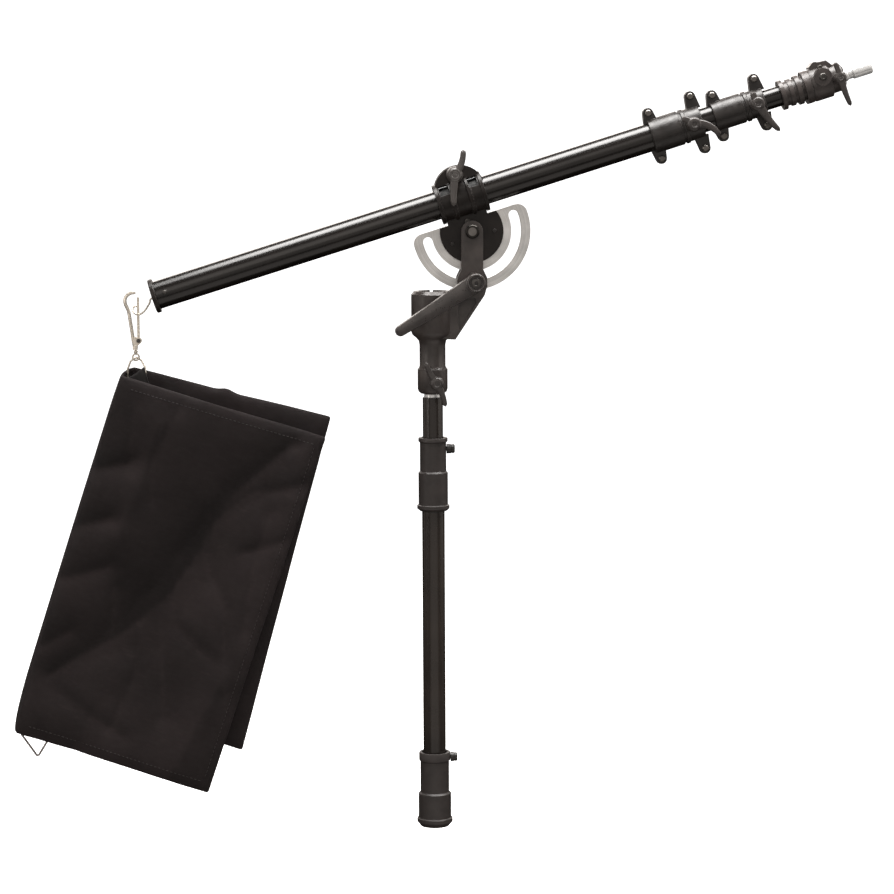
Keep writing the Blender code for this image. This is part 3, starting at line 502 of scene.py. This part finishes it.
def blade(shape, at, angle, length, bend, width, thick, y, stations=16, sides=18):
    """A tapered lever blade in the frame's XZ plane.

    It leaves the origin at angle and bends on the way, both in degrees. Half width, half
    thickness and y are each (root, tip) in millimetres.
    """
    rings = []
    x = z = 0.0
    heading = math.radians(angle)
    for i in range(stations + 1):
        t = i / stations
        near_tip = max(0.0, (t - TIP_START) / (1 - TIP_START))
        tip = math.sqrt(max(0.0, 1 - near_tip ** 2))
        w = (width[0] + (width[1] - width[0]) * t ** 0.8) * max(tip, 0.04)
        h = (thick[0] + (thick[1] - thick[0]) * t) * max(tip, 0.12)
        mid = y[0] + (y[1] - y[0]) * t * t
        side = Vector((-math.sin(heading), 0, math.cos(heading)))
        ring = []
        for k in range(sides):
            a = 2 * math.pi * k / sides
            ca, sa = math.cos(a), math.sin(a)
            across = w * math.copysign(abs(ca) ** SQUARED, ca)
            deep = h * math.copysign(abs(sa) ** SQUARED, sa)
            point = Vector((x, mid + deep, z)) + side * across
            ring.append(shape.verts.new(at @ (point * MM)))
        rings.append(ring)
        x += length / stations * math.cos(heading)
        z += length / stations * math.sin(heading)
        heading += math.radians(bend) / stations
    capped_tube(shape, rings)


def in_boom(x, z):
    """Frame at x along the boom's axis and z above it, in millimetres."""
    return TO_BOOM @ Matrix.Translation((x * MM, 0, z * MM))


def in_world(x, z):
    """Frame at x and z in the stand's own plane, in millimetres."""
    return Matrix.Translation((x * MM, 0, z * MM))


def wing_lever(name, at, hub_r, back, front, screw, blades, look="wing_plastic"):
    """Moulded wing lever: fluted hub with a domed cap, screw, and organic blades.

    back and front are the hub's ends along Y. screw is its radius and the end away from the hub.
    """
    shape = bmesh.new()
    dome = front - back
    profile = [
        (0, back), (hub_r - 0.9, back), (hub_r, back - 1.0), (hub_r, back + dome * 0.45),
        (hub_r - 0.5, back + dome * 0.5), (hub_r - 0.5, back + dome * 0.56),
        (hub_r, back + dome * 0.61), (hub_r - 0.3, back + dome * 0.8),
        (hub_r - 1.4, back + dome * 0.93), (hub_r - 3.2, front), (hub_r * 0.42, front),
        (hub_r * 0.36, front + 0.7), (0, front + 0.7),
    ]
    lathe(shape, profile, 48, at @ ALONG_Y)
    screw_r, screw_end = screw
    shank = [(0, screw_end), (screw_r, screw_end), (screw_r, back + 0.4), (0, back + 0.4)]
    lathe(shape, shank, 24, at @ ALONG_Y)
    for values in blades:
        blade(shape, at, *values)
    made = add_piece(name + "_look", shape, LOOKS[look], name)
    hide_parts(name)


# each blade: angle, length, bend, half width, half thickness, y
wing_lever(
    "saddle_wing", in_boom(0, 30), 10.0, -12.5, -33.0, (3.9, 16.8),
    (
        (34, 33, 44, (4.8, 3.3), (3.4, 2.6), (-29.6, -30.2)),
        (246, 38, 9, (5.6, 3.4), (3.4, 2.4), (-29.6, -30.4)),
    ),
    # the saddle wing takes the lighter copy of the wing plastic: painted light
    look="wing_painted_light",
)
wing_lever(
    "receiver_wing", in_world(4, 558), 8.5, -19.2, -31.5, (3.1, -8.4),
    (
        (128, 30, -22, (4.6, 2.6), (3.1, 2.2), (-27.6, -28.4)),
        (300, 30, -22, (4.6, 2.8), (3.1, 2.2), (-27.6, -28.4)),
    ),
)
wing_lever(
    "collar_1_wing", in_boom(296, 0), 9.0, -21.9, -34.2, (3.1, -15.6),
    (
        (-8, 37, -72, (6.0, 3.2), (3.4, 2.3), (-30.0, -30.6)),
        (128, 17, 20, (5.4, 3.4), (3.2, 2.3), (-30.0, -30.0)),
    ),
)
wing_lever(
    "collar_2_wing", in_boom(378, 0), 9.0, -19.2, -31.5, (3.1, -13.1),
    (
        (-76, 43, 18, (6.4, 2.8), (3.4, 2.2), (-27.4, -28.2)),
        (108, 16, -20, (5.4, 3.4), (3.2, 2.3), (-27.4, -27.4)),
    ),
)
wing_lever(
    "hub_wing", in_boom(484, 0), 7.5, -18.0, -29.6, (3.1, -8.6),
    (
        (92, 20, 8, (4.0, 2.6), (2.7, 2.0), (-26.6, -26.6)),
        (268, 37, 12, (4.8, 2.6), (2.8, 2.0), (-26.6, -26.8)),
    ),
)

LEVER_AT = in_world(51.2, 681.8)
LEVER_ANGLE = math.radians(212)
# ends of the lever's outline: radius, reach from the hub, first and last angle of its arc
LEVER_ENDS = ((11.4, 0.0, 119, -55), (6.7, 108.6, 302, 122))
LEVER_BACK, LEVER_FRONT, LEVER_SOFT = -36.8, -46.2, 3.2
ARC_STEPS = 12


def lever_outline():
    """The lever's silhouette as (x, z) points in millimetres from its hub."""
    outline = []
    for radius, reach, first, last in LEVER_ENDS:
        cx, cz = reach * math.cos(LEVER_ANGLE), reach * math.sin(LEVER_ANGLE)
        for k in range(ARC_STEPS + 1):
            a = math.radians(first + (last - first) * k / ARC_STEPS)
            outline.append((cx + radius * math.cos(a), cz + radius * math.sin(a)))
    return outline


def ratchet_lever():
    """Long clamping lever: tapered bar with broad rounded edges and a ringed hub."""
    shape = bmesh.new()
    hub = [
        (0, -16.2), (10.3, -16.2), (10.3, -30), (11.5, -31.6), (11.5, -48.6), (11.0, -49.6),
        (10.2, -50), (9.2, -50), (8.7, -49.4), (8.5, -48.2), (8.0, -47.4), (0, -47.4),
    ]
    lathe(shape, hub, 72, LEVER_AT @ ALONG_Y)
    outline = lever_outline()
    count = len(outline)
    centre = Vector((sum(x for x, _ in outline) / count, sum(z for _, z in outline) / count))
    # rounded edges: how far the outline shrinks at each depth
    layers = (
        (LEVER_SOFT, LEVER_BACK), (0.5, LEVER_BACK - 0.8), (0, LEVER_BACK - 2.2),
        (0, LEVER_FRONT + LEVER_SOFT), (0.8, LEVER_FRONT + 0.9), (LEVER_SOFT, LEVER_FRONT),
    )
    rings = []
    for inset, y in layers:
        ring = []
        for k, (x, z) in enumerate(outline):
            ax, az = outline[k - 1]
            bx, bz = outline[(k + 1) % count]
            inward = Vector((az - bz, bx - ax)).normalized()
            if inward.dot(Vector((x, z)) - centre) > 0:
                inward = -inward
            point = Vector((x + inward.x * inset, y, z + inward.y * inset))
            ring.append(shape.verts.new(LEVER_AT @ (point * MM)))
        rings.append(ring)
    capped_tube(shape, rings)
    made = add_piece("ratchet_lever_look", shape, LOOKS["wing_plastic"], "lever", 50)
    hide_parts("ratchet_lever")


def lever_screw():
    """Countersunk cap screw in the lever's hub, with its socket."""
    shape = bmesh.new()
    profile = [
        (0, -36), (2.4, -36), (2.4, -45.5), (5.4, -47.2), (5.9, -48.4), (5.4, -49.2),
        (2.6, -49.4), (2.3, -49.0), (2.3, -46.6), (0, -46.6),
    ]
    lathe(shape, profile, 40, LEVER_AT @ ALONG_Y)
    made = add_piece("lever_screw_look", shape, LOOKS["dark_steel"], "lever")
    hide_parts("lever_screw")


ratchet_lever()
lever_screw()


def button_head(name, body, at, radius, seat, rise, look, slot, socket=True):
    """A small screw or rivet head that stands on a face at y = seat, toward the front."""
    shape = bmesh.new()
    hole = radius * 0.5
    profile = [
        (0, seat + 0.6), (radius, seat + 0.6), (radius, seat - rise * 0.45),
        (radius * 0.86, seat - rise * 0.85),
    ]
    if socket:
        floor = seat - rise * 0.35
        profile += [(hole, seat - rise), (hole * 0.9, floor), (0, floor)]
    else:
        profile += [(hole, seat - rise), (0, seat - rise * 1.05)]
    lathe(shape, profile, 28, at @ ALONG_Y)
    made = add_piece(name, shape, LOOKS[look], body)


# look and slot
PALE = ("bright_steel", "dark_steel")
DARK = ("dark_steel", "dark_steel")
PAINTED = ("cast_black", "cast_black")
# name, body, place, radius, seat, rise, look, slot, has a socket
for values in (
    ("hub_screw_upper", "boom_end", in_boom(466, 18.5), 3.4, -9.0, 2.2, *PALE),
    ("hub_screw_lower", "boom_end", in_boom(464.5, 7.0), 4.6, -22.5, 2.0, *DARK),
    ("cap_rivet", "boom", in_boom(-379, 1.5), 2.7, -17.2, 1.3, *DARK, False),
    ("flange_screw_1", "saddle", in_boom(-1.5, -29.0), 3.2, -6.3, 1.8, *DARK),
    ("flange_screw_2", "saddle", in_boom(-27.0, -50.0), 2.4, -6.3, 1.2, *PAINTED, False),
    ("flange_screw_3", "saddle", in_boom(27.0, -50.0), 2.4, -6.3, 1.2, *PAINTED, False),
):
    button_head(*values)


# ---------------------------------------------------------------- saddle bag
# corners as (x, z) in millimetres: top by the fold, top open, bottom open, bottom by the fold
FRONT_SHEET = ((-378.0, 568.0), (-134.0, 490.0), (-283.0, 54.0), (-516.0, 133.0))
REAR_SHEET = ((-366.0, 575.0), (-128.0, 513.0), (-241.0, 99.0), (-501.0, 190.0))
SHEET_Y = 12.0  # radius of the fold, from the bag's middle plane
FRONT_PLUMP, REAR_PLUMP = 7.5, 5.0  # how much further out than the fold the sheets lie
FRONT_LIMIT, REAR_LIMIT = 6.5, 7.0  # nearest that a sheet may come to the middle plane
SHEET_SIZE = (230.0, 430.0)  # rough width and height, for slopes
NECK = (0.47, 0.035, 0.05)  # small hump on the rear's top edge: place, width and height in (u, v)
# folds as lines of (u, v) over a sheet, then depth and reach in millimetres
CREASES = (
    (
        ((0.86, 0.05), (0.66, 0.23), (0.595, 0.39), (0.527, 0.52), (0.355, 0.67), (0.07, 0.83)),
        -13.0, 52.0,
    ),
    (((0.56, 0.45), (0.513, 0.587), (0.613, 0.739), (0.68, 0.85)), -7.0, 30.0),
    (((0.86, 0.24), (0.868, 0.366), (0.927, 0.56)), -5.5, 24.0),
    (((0.17, 0.21), (0.0, 0.265)), -4.5, 14.0),
    (((0.14, 0.375), (-0.02, 0.43)), -5.0, 15.0),
    (((0.20, 0.50), (0.0, 0.57)), -3.6, 15.0),
    (((0.10, 0.70), (-0.02, 0.77)), -4.0, 13.0),
    (((0.24, 0.10), (0.22, 0.40)), 4.0, 28.0),
    (((0.90, 0.70), (0.80, 0.98)), 3.6, 26.0),
    (((0.36, 0.84), (0.30, 1.0)), -2.0, 20.0),
    (((0.98, 0.14), (0.74, 0.21), (0.63, 0.30)), -3.0, 10.0),
    (((0.97, 0.30), (0.80, 0.36)), -2.4, 9.0),
    (((0.62, 0.40), (0.80, 0.52), (0.93, 0.74)), -2.6, 12.0),
    (((0.50, 0.56), (0.66, 0.62), (0.82, 0.66)), -2.2, 10.0),
    (((0.44, 0.62), (0.48, 0.76), (0.44, 0.92)), -2.4, 11.0),
    (((0.12, 0.86), (0.30, 0.90), (0.52, 0.93)), -2.2, 10.0),
    (((0.26, 0.55), (0.32, 0.70)), -2.2, 10.0),
    (((0.10, 0.05), (0.16, 0.24)), -2.6, 9.0),
    (((0.30, 0.03), (0.26, 0.18), (0.30, 0.30)), -2.0, 12.0),
)
REAR_CREASES = (
    (((0.95, 0.10), (0.62, 0.34), (0.40, 0.62), (0.12, 0.80)), -6.0, 40.0),
    (((0.20, 0.05), (0.30, 0.30), (0.22, 0.55)), -3.0, 16.0),
    (((0.98, 0.45), (0.74, 0.52), (0.60, 0.66)), -3.0, 12.0),
    (((0.55, 0.62), (0.72, 0.78), (0.80, 0.97)), -3.4, 14.0),
    (((0.0, 0.30), (0.18, 0.36)), -2.6, 10.0),
    (((0.05, 0.62), (0.26, 0.58)), -2.6, 10.0),
    (((0.34, 0.84), (0.50, 0.90), (0.58, 0.99)), -2.4, 12.0),
)


def between(corners, u, v):
    """Bilinear point of a sheet: u from the fold to the open edge, v from the top down."""
    (ax, az), (bx, bz), (cx, cz), (dx, dz) = corners
    top = (ax + (bx - ax) * u, az + (bz - az) * u)
    low = (dx + (cx - dx) * u, dz + (cz - dz) * u)
    return top[0] + (low[0] - top[0]) * v, top[1] + (low[1] - top[1]) * v


def crease_relief(corners, u, v, creases):
    """Height of sharp-bottomed folds at a point, as a sum over crease lines."""
    here = Vector(between(corners, u, v))
    total = 0.0
    for points, depth, reach in creases:
        nearest = 1e9
        for first, last in zip(points, points[1:]):
            a, b = Vector(between(corners, *first)), Vector(between(corners, *last))
            run = b - a
            t = max(0.0, min(1.0, (here - a).dot(run) / run.length_squared))
            nearest = min(nearest, (here - a - run * t).length)
        total += depth * math.exp(-nearest / reach)
    return total


def facing_light(corners, u, v, creases, step=0.02):
    """How much a point of the creased sheet leans toward the upper left, from -1 to 1."""
    wide, tall = SHEET_SIZE
    here = crease_relief(corners, u, v, creases)
    slope_x = (crease_relief(corners, u + step, v, creases) - here) / step / wide
    slope_z = (here - crease_relief(corners, u, v + step, creases)) / step / tall
    return max(-1.0, min(1.0, (0.45 * slope_x - 0.9 * slope_z) * 4.2))


def front_point(u, v, waves):
    """Point in the middle of the front sheet's cloth, in millimetres."""
    x, z = between(FRONT_SHEET, u, v)
    ripple = sum(k * math.sin(a * u + b * v + c) for a, b, c, k in waves)
    relief = crease_relief(FRONT_SHEET, u, v, CREASES) * (0.35 + 0.65 * min(1, u * 8))
    return Vector((x, min(-SHEET_Y - FRONT_PLUMP - relief - ripple, -FRONT_LIMIT), z))


def fold_point(turn, v):
    """Point on the fold, at an angle from the front sheet (0) to the rear sheet (pi)."""
    fx, fz = between(FRONT_SHEET, 0, v)
    rx, rz = between(REAR_SHEET, 0, v)
    t = (1 - math.cos(turn)) / 2
    x = fx + (rx - fx) * t - 3.0 * math.sin(turn)
    z = fz + (rz - fz) * t + 1.0 * math.sin(turn)
    return Vector((x, -SHEET_Y * math.cos(turn), z))


def rear_point(u, v, waves):
    """Point in the middle of the rear sheet's cloth, in millimetres."""
    x, z = between(REAR_SHEET, u, v)
    place, width, height = NECK
    z += 3.0 * math.exp(-((u - place) / width) ** 2 - (v / height) ** 2)
    ripple = sum(k * math.sin(b * u - a * v + c) for a, b, c, k in waves)
    relief = crease_relief(REAR_SHEET, u, v, REAR_CREASES) * min(1, 0.35 + u * 5)
    return Vector((x, max(SHEET_Y + REAR_PLUMP + ripple + relief, REAR_LIMIT), z))


def half_thickness(u, v, from_fold):
    """Half the padded cloth's thickness in millimetres: thin at the hems and round the fold."""
    rim = min((1 - u) * 10, v * 14, (1 - v) * 14, 1.0)
    return 1.5 + 2.6 * math.sqrt(max(0.0, rim)) * (0.45 + 0.55 * from_fold)


def bag_mesh(name, across=46, fold=10, down=84):
    """Closed shell of a folded bag: front pouch, fold on the left, rear pouch, as one cloth."""
    draw = random.Random(7)
    waves = []
    for _ in range(9):
        a, b = draw.uniform(2, 9), draw.uniform(2, 9)
        waves.append((a, b, draw.uniform(0, 6.28), draw.uniform(0.2, 0.7)))
    middle, half, lean = [], [], []
    columns = across * 2 + fold + 1
    for j in range(down + 1):
        v = j / down
        for i in range(columns):
            if i <= across:
                u = 1 - i / across
                point = front_point(u, v, waves)
                lean.append(0.5 + 0.5 * facing_light(FRONT_SHEET, u, v, CREASES))
            elif i < across + fold:
                u = 0.0
                point = fold_point(math.pi * (i - across) / fold, v)
                lean.append(0.5)
            else:
                u = (i - across - fold) / across
                point = rear_point(u, v, waves)
                lean.append(0.5 + 0.4 * facing_light(REAR_SHEET, u, v, REAR_CREASES))
            on_sheet = i > across + fold or i < across
            middle.append(point * MM)
            half.append(half_thickness(u, v, min(u * 9, 1) if on_sheet else 0.0) * MM)
    count = len(middle)
    outer, inner = [], []
    for j in range(down + 1):
        for i in range(columns):
            k = j * columns + i
            left = middle[k - 1] if i else middle[k]
            right = middle[k + 1] if i < columns - 1 else middle[k]
            above = middle[k - columns] if j else middle[k]
            below = middle[k + columns] if j < down else middle[k]
            normal = (right - left).cross(below - above).normalized()
            outer.append(middle[k] + normal * half[k])
            inner.append(middle[k] - normal * half[k])
    faces = []
    for j in range(down):
        for i in range(columns - 1):
            a = j * columns + i
            b, c, d = a + 1, a + columns + 1, a + columns
            faces.append((a, d, c, b))
            faces.append((a + count, b + count, c + count, d + count))
    border = list(range(columns))
    border += [(j + 1) * columns - 1 for j in range(1, down + 1)]
    border += [down * columns + i for i in range(columns - 2, -1, -1)]
    border += [j * columns for j in range(down - 1, 0, -1)]
    for a, b in zip(border, border[1:] + border[:1]):
        faces.append((a, b, b + count, a + count))
    mesh = bpy.data.meshes.new(name)
    mesh.from_pydata(outer + inner, [], faces)
    # painted light and shade for the cloth: how far each point of the creased sheets leans toward
    # the upper left
    toned = mesh.attributes.new("folds", "FLOAT", "POINT")
    toned.data.foreach_set("value", lean + lean)
    shape = bmesh.new()
    shape.from_mesh(mesh)
    bmesh.ops.recalc_face_normals(shape, faces=shape.faces)
    shape.to_mesh(mesh)
    shape.free()
    made = bpy.data.objects.new(name, mesh)
    bpy.context.scene.collection.objects.link(made)
    return made


SHEET_START = 0.004  # cloth further than this from the middle plane belongs to a pouch
SHEET_GAP = 0.0022  # how near the middle plane a pouch's cloth may end up


def inflate(piece, pressure, frames, most):
    """Cloth simulation of a slack filled bag; no point moves further than most metres."""
    start = [v.co.copy() for v in piece.data.vertices]
    cloth = piece.modifiers.new("cloth", "CLOTH")
    settings = cloth.settings
    settings.quality = 6
    settings.mass = 0.35
    settings.tension_stiffness = 22
    settings.compression_stiffness = 22
    settings.shear_stiffness = 8
    settings.bending_stiffness = 0.6
    settings.use_pressure = True
    settings.uniform_pressure_force = pressure
    settings.effector_weights.gravity = 0
    settings.shrink_min = -0.02
    cloth.collision_settings.use_collision = False
    cloth.point_cache.frame_start = 1
    cloth.point_cache.frame_end = frames
    for number in range(1, frames + 1):
        bpy.context.scene.frame_set(number)
    bpy.context.view_layer.update()
    baked = piece.evaluated_get(bpy.context.evaluated_depsgraph_get()).to_mesh()
    moved = [v.co.copy() for v in baked.vertices]
    piece.modifiers.remove(cloth)
    bpy.context.scene.frame_set(1)
    for vertex, was, now in zip(piece.data.vertices, start, moved):
        step = now - was
        if step.length > most:
            step *= most / step.length
        place = was + step
        side = -1 if was.y < 0 else 1
        if abs(was.y) > SHEET_START:  # the two pouches stay clear of each other
            place.y = side * max(abs(place.y), SHEET_GAP)
        vertex.co = place


bag = bag_mesh("saddle_bag")
inflate(bag, 2.0, 12, 0.0035)
bag.data.shade_smooth()
rounder = bag.modifiers.new("round", "SUBSURF")
rounder.levels = 1
rounder.render_levels = 1
bag.data.materials.append(LOOKS["bag_nylon"])
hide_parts("bag_front_pouch", "bag_rear_pouch", "bag_spine")
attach(bag, "bag")


WEBBING_BEND = 2.5


def webbing_loop(name, first, last, depth, rising, lift=0.0):
    """Webbing folded round a ring's bar from first to last, its two ends sewn into the bag."""
    a, b = Vector((first[0], 0, first[1])), Vector((last[0], 0, last[1]))
    along = (b - a).normalized()
    outward = Vector((-along.z, 0, along.x)) * rising
    turns = [math.pi * k / 8 for k in range(9)]
    section = [(WEBBING_BEND * math.cos(t), WEBBING_BEND * math.sin(t)) for t in turns]
    section += [(-1.7, -7.0), (-1.5, -depth), (1.5, -depth), (1.7, -7.0)]
    shape = bmesh.new()
    rings = []
    stations = 12
    for i in range(stations + 1):
        wave = 0.25 * math.sin(i * 1.9)
        extra = lift * (i / stations) ** 1.5
        middle = a.lerp(b, i / stations)
        ring = []
        for y, h in section:
            reach = h + extra if h >= 0 else h
            point = middle + Vector((0, y + wave, 0)) + outward * reach
            ring.append(shape.verts.new(point * MM))
        rings.append(ring)
    capped_tube(shape, rings)
    made = add_piece(name, shape, LOOKS["webbing"], "bag", 50)


webbing_loop("upper_webbing", (-372.2, 565.4), (-351.0, 571.1), 38.0, 1, 7.0)
webbing_loop("lower_webbing", (-510.0, 125.8), (-484.0, 118.2), 34.0, -1)


def rounded_loop(points, bend, steps=6):
    """Corner points joined by straight runs, with each corner rounded."""
    path = []
    count = len(points)
    for i, corner in enumerate(points):
        before = corner + (points[i - 1] - corner).normalized() * bend
        after = corner + (points[(i + 1) % count] - corner).normalized() * bend
        for k in range(steps + 1):
            t = k / steps
            path.append(before * (1 - t) ** 2 + corner * 2 * t * (1 - t) + after * t * t)
    return path


def bent_wire(name, path, radius, look, body, sides=12):
    """Closed wire of round section along a path in millimetres, in the XZ plane."""
    shape = bmesh.new()
    rings = []
    count = len(path)
    for i, here in enumerate(path):
        run = (path[(i + 1) % count] - path[i - 1]).normalized()
        side = run.cross(Vector((0, 1, 0))).normalized()
        ring = []
        for k in range(sides):
            a = 2 * math.pi * k / sides
            out = side * math.cos(a) + Vector((0, math.sin(a), 0))
            ring.append(shape.verts.new((here + out * radius) * MM))
        rings.append(ring)
    for i, low in enumerate(rings):
        bridge(shape, low, rings[(i + 1) % count])
    return add_piece(name, shape, look, body, 60)


LOWER_RING = [Vector(corner) for corner in ((-514, 0, 127), (-480, 0, 117), (-493, 0, 96))]
RING_BEND, RING_WIRE_R = 4.0, 1.35
ring_path = rounded_loop(LOWER_RING, RING_BEND)
lower_ring = bent_wire("lower_ring_look", ring_path, RING_WIRE_R, LOOKS["ring_steel"], "lower_ring")
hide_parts("lower_ring")


OUTSIDE = 0.3  # where the rays that find the cloth start, from the middle plane


def stitch(shape, start, end, thick):
    """One stitch: a hexagonal rod with narrowed ends, half sunk into the cloth."""
    (p, n), (q, m) = start, end
    run = (q - p).normalized()
    out = (n + m).normalized()
    across = run.cross(out).normalized()
    loops = []
    for t, size in ((0.0, 0.35), (0.2, 1.0), (0.8, 1.0), (1.0, 0.35)):
        middle = p.lerp(q, t)
        loop = []
        for k in range(6):
            angle = math.radians(60 * k)
            offset = (across * math.cos(angle) + out * math.sin(angle)) * thick * size * MM
            loop.append(shape.verts.new(middle + offset))
        loops.append(loop)
    capped_tube(shape, loops)


def stitch_rows(name, rows, pitch=5.2, length=3.3, thick=0.42):
    """Rows of thread stitches laid on the bag's outside, along lines over its sheets."""
    bpy.context.view_layer.update()
    depsgraph = bpy.context.evaluated_depsgraph_get()
    skin = BVHTree.FromObject(bag, depsgraph)
    shape = bmesh.new()
    for corners, side, first, last in rows:
        a, b = Vector(between(corners, *first)), Vector(between(corners, *last))
        for i in range(int((b - a).length / pitch)):
            ends = []
            for reach in (i * pitch, i * pitch + length):
                flat = a + (b - a).normalized() * reach
                start = Vector((flat.x * MM, side * OUTSIDE, flat.y * MM))
                hit, normal, _, _ = skin.ray_cast(start, Vector((0, -side, 0)))
                if hit is not None:
                    ends.append((hit, normal))
            if len(ends) == 2 and (ends[0][0] - ends[1][0]).length <= 2 * length * MM:
                stitch(shape, *ends, thick)
    made = add_piece(name, shape, LOOKS["thread"], "bag", 60)


# each row: sheet, side, then from and to as (u, v)
FRONT_ROWS = (
    (FRONT_SHEET, -1, (0.05, 0.022), (0.975, 0.022)),
    (FRONT_SHEET, -1, (0.965, 0.03), (0.965, 0.975)),
    (FRONT_SHEET, -1, (0.05, 0.978), (0.96, 0.978)),
)
REAR_ROWS = (
    (REAR_SHEET, 1, (0.05, 0.024), (0.975, 0.024)),
    (REAR_SHEET, 1, (0.965, 0.03), (0.965, 0.975)),
    (REAR_SHEET, 1, (0.05, 0.976), (0.96, 0.976)),
)
stitch_rows("front_stitching", FRONT_ROWS)
stitch_rows("rear_stitching", REAR_ROWS)


# ---------------------------------------------------------------- studio
def area_light(name, location, target, size, size_y, power, colour):
    """Rectangular light at location, turned toward target."""
    data = bpy.data.lights.new(name, "AREA")
    data.shape = "RECTANGLE"
    data.size = size
    data.size_y = size_y
    data.energy = power
    data.color = colour
    made = bpy.data.objects.new(name, data)
    made.location = location
    aim = Vector(target) - Vector(location)
    made.rotation_euler = aim.to_track_quat("-Z", "Y").to_euler()
    bpy.context.scene.collection.objects.link(made)


def cyclorama():
    """Pale round floor well below the held object, curving up into a wall all the way round."""
    floor_z, wall_r, bend_r, top_z, steps = -0.55, 9.0, 2.5, 6.5, 48
    profile = [(wall_r - bend_r, floor_z)]
    for i in range(1, 11):
        angle = math.radians(90 * i / 10)
        rise = bend_r * (1 - math.cos(angle))
        profile.append((wall_r - bend_r + bend_r * math.sin(angle), floor_z + rise))
    profile.append((wall_r, top_z))
    verts = [(0, 0, floor_z)]
    for r, z in profile:
        turns = (2 * math.pi * k / steps for k in range(steps))
        verts += [(r * math.cos(a), r * math.sin(a), z) for a in turns]
    faces = [(0, 1 + k, 1 + (k + 1) % steps) for k in range(steps)]
    for row in range(len(profile) - 1):
        for k in range(steps):
            a, b = 1 + row * steps + k, 1 + row * steps + (k + 1) % steps
            faces.append((a, a + steps, b + steps, b))
    mesh = bpy.data.meshes.new("studio_sweep")
    mesh.from_pydata(verts, [], faces)
    mesh.shade_smooth()
    made = bpy.data.objects.new("studio_sweep", mesh)
    bpy.context.scene.collection.objects.link(made)
    paper = Surface("backdrop_paper", (0.9, 0.9, 0.9), 0.9)
    paper.vary(paper.noise(3, 2), 0.3, 0.7, 0.99, 1.01)
    paper.shader.inputs["Emission Color"].default_value = (1, 1, 1, 1)
    paper.shader.inputs["Emission Strength"].default_value = 0.95
    mesh.materials.append(paper.finish())
    # the sweep is only a backdrop: the area lights do the lighting
    made.visible_glossy = False
    made.visible_diffuse = False
    made.visible_shadow = False


cyclorama()
world = bpy.data.worlds.new("studio")
bpy.context.scene.world = world
world.use_nodes = True
world.node_tree.nodes["Background"].inputs["Color"].default_value = (1, 1, 1, 1)
world.node_tree.nodes["Background"].inputs["Strength"].default_value = 0.33
world.cycles_visibility.glossy = False

WARM, NEAR_WHITE = (1.0, 0.93, 0.87), (1, 0.98, 0.96)
MIDDLE = (0.0, 0.0, 0.5)
# name, place, target, width, height, watts, colour
for values in (
    ("top_softbox", (0.5, -0.15, 2.7), (0.5, 0.05, 0.7), 3.0, 1.2, 220, NEAR_WHITE),
    ("left_softbox", (-2.4, -1.4, 1.2), MIDDLE, 0.7, 2.0, 16, WARM),
    ("right_softbox", (2.5, -1.0, 1.2), (0.1, 0.0, 0.6), 0.6, 2.0, 8, WARM),
    ("front_fill", (-0.8, -3.8, 1.9), MIDDLE, 2.6, 2.2, 16, WARM),
    ("front_card", (0.0, -5.5, 0.8), MIDDLE, 9.0, 5.0, 62, WARM),
    ("rim_softbox", (0.0, 2.6, 1.9), (0.0, 0.0, 0.6), 3.0, 1.2, 40, WARM),
    ("back_card", (0.0, 6.0, 2.2), MIDDLE, 8.0, 4.0, 75, WARM),
    ("left_card", (-6.0, 0.5, 1.4), MIDDLE, 5.0, 4.0, 45, WARM),
    ("right_card", (6.0, 0.5, 1.4), MIDDLE, 5.0, 4.0, 45, WARM),
    ("low_bounce", (0.1, -1.0, -0.8), (0.0, 0.0, 0.6), 3.0, 1.4, 9, WARM),
):
    area_light(*values)

CAMERA_AT = Vector((-0.1784, -3.4581, 0.877))
YAW, PITCH, ROLL = (math.radians(a) for a in (3.239, -6.588, 0.279))
camera = bpy.data.objects.new("camera", bpy.data.cameras.new("camera"))
camera.location = CAMERA_AT
turned = Matrix.Rotation(-YAW, 4, "Z") @ Matrix.Rotation(math.pi / 2 + PITCH, 4, "X")
camera.rotation_euler = (turned @ Matrix.Rotation(-ROLL, 4, "Z")).to_euler()
camera.data.angle = math.radians(18)
camera.data.clip_end = 50
bpy.context.scene.collection.objects.link(camera)
bpy.context.scene.camera = camera
bpy.context.scene.view_settings.view_transform = "Standard"
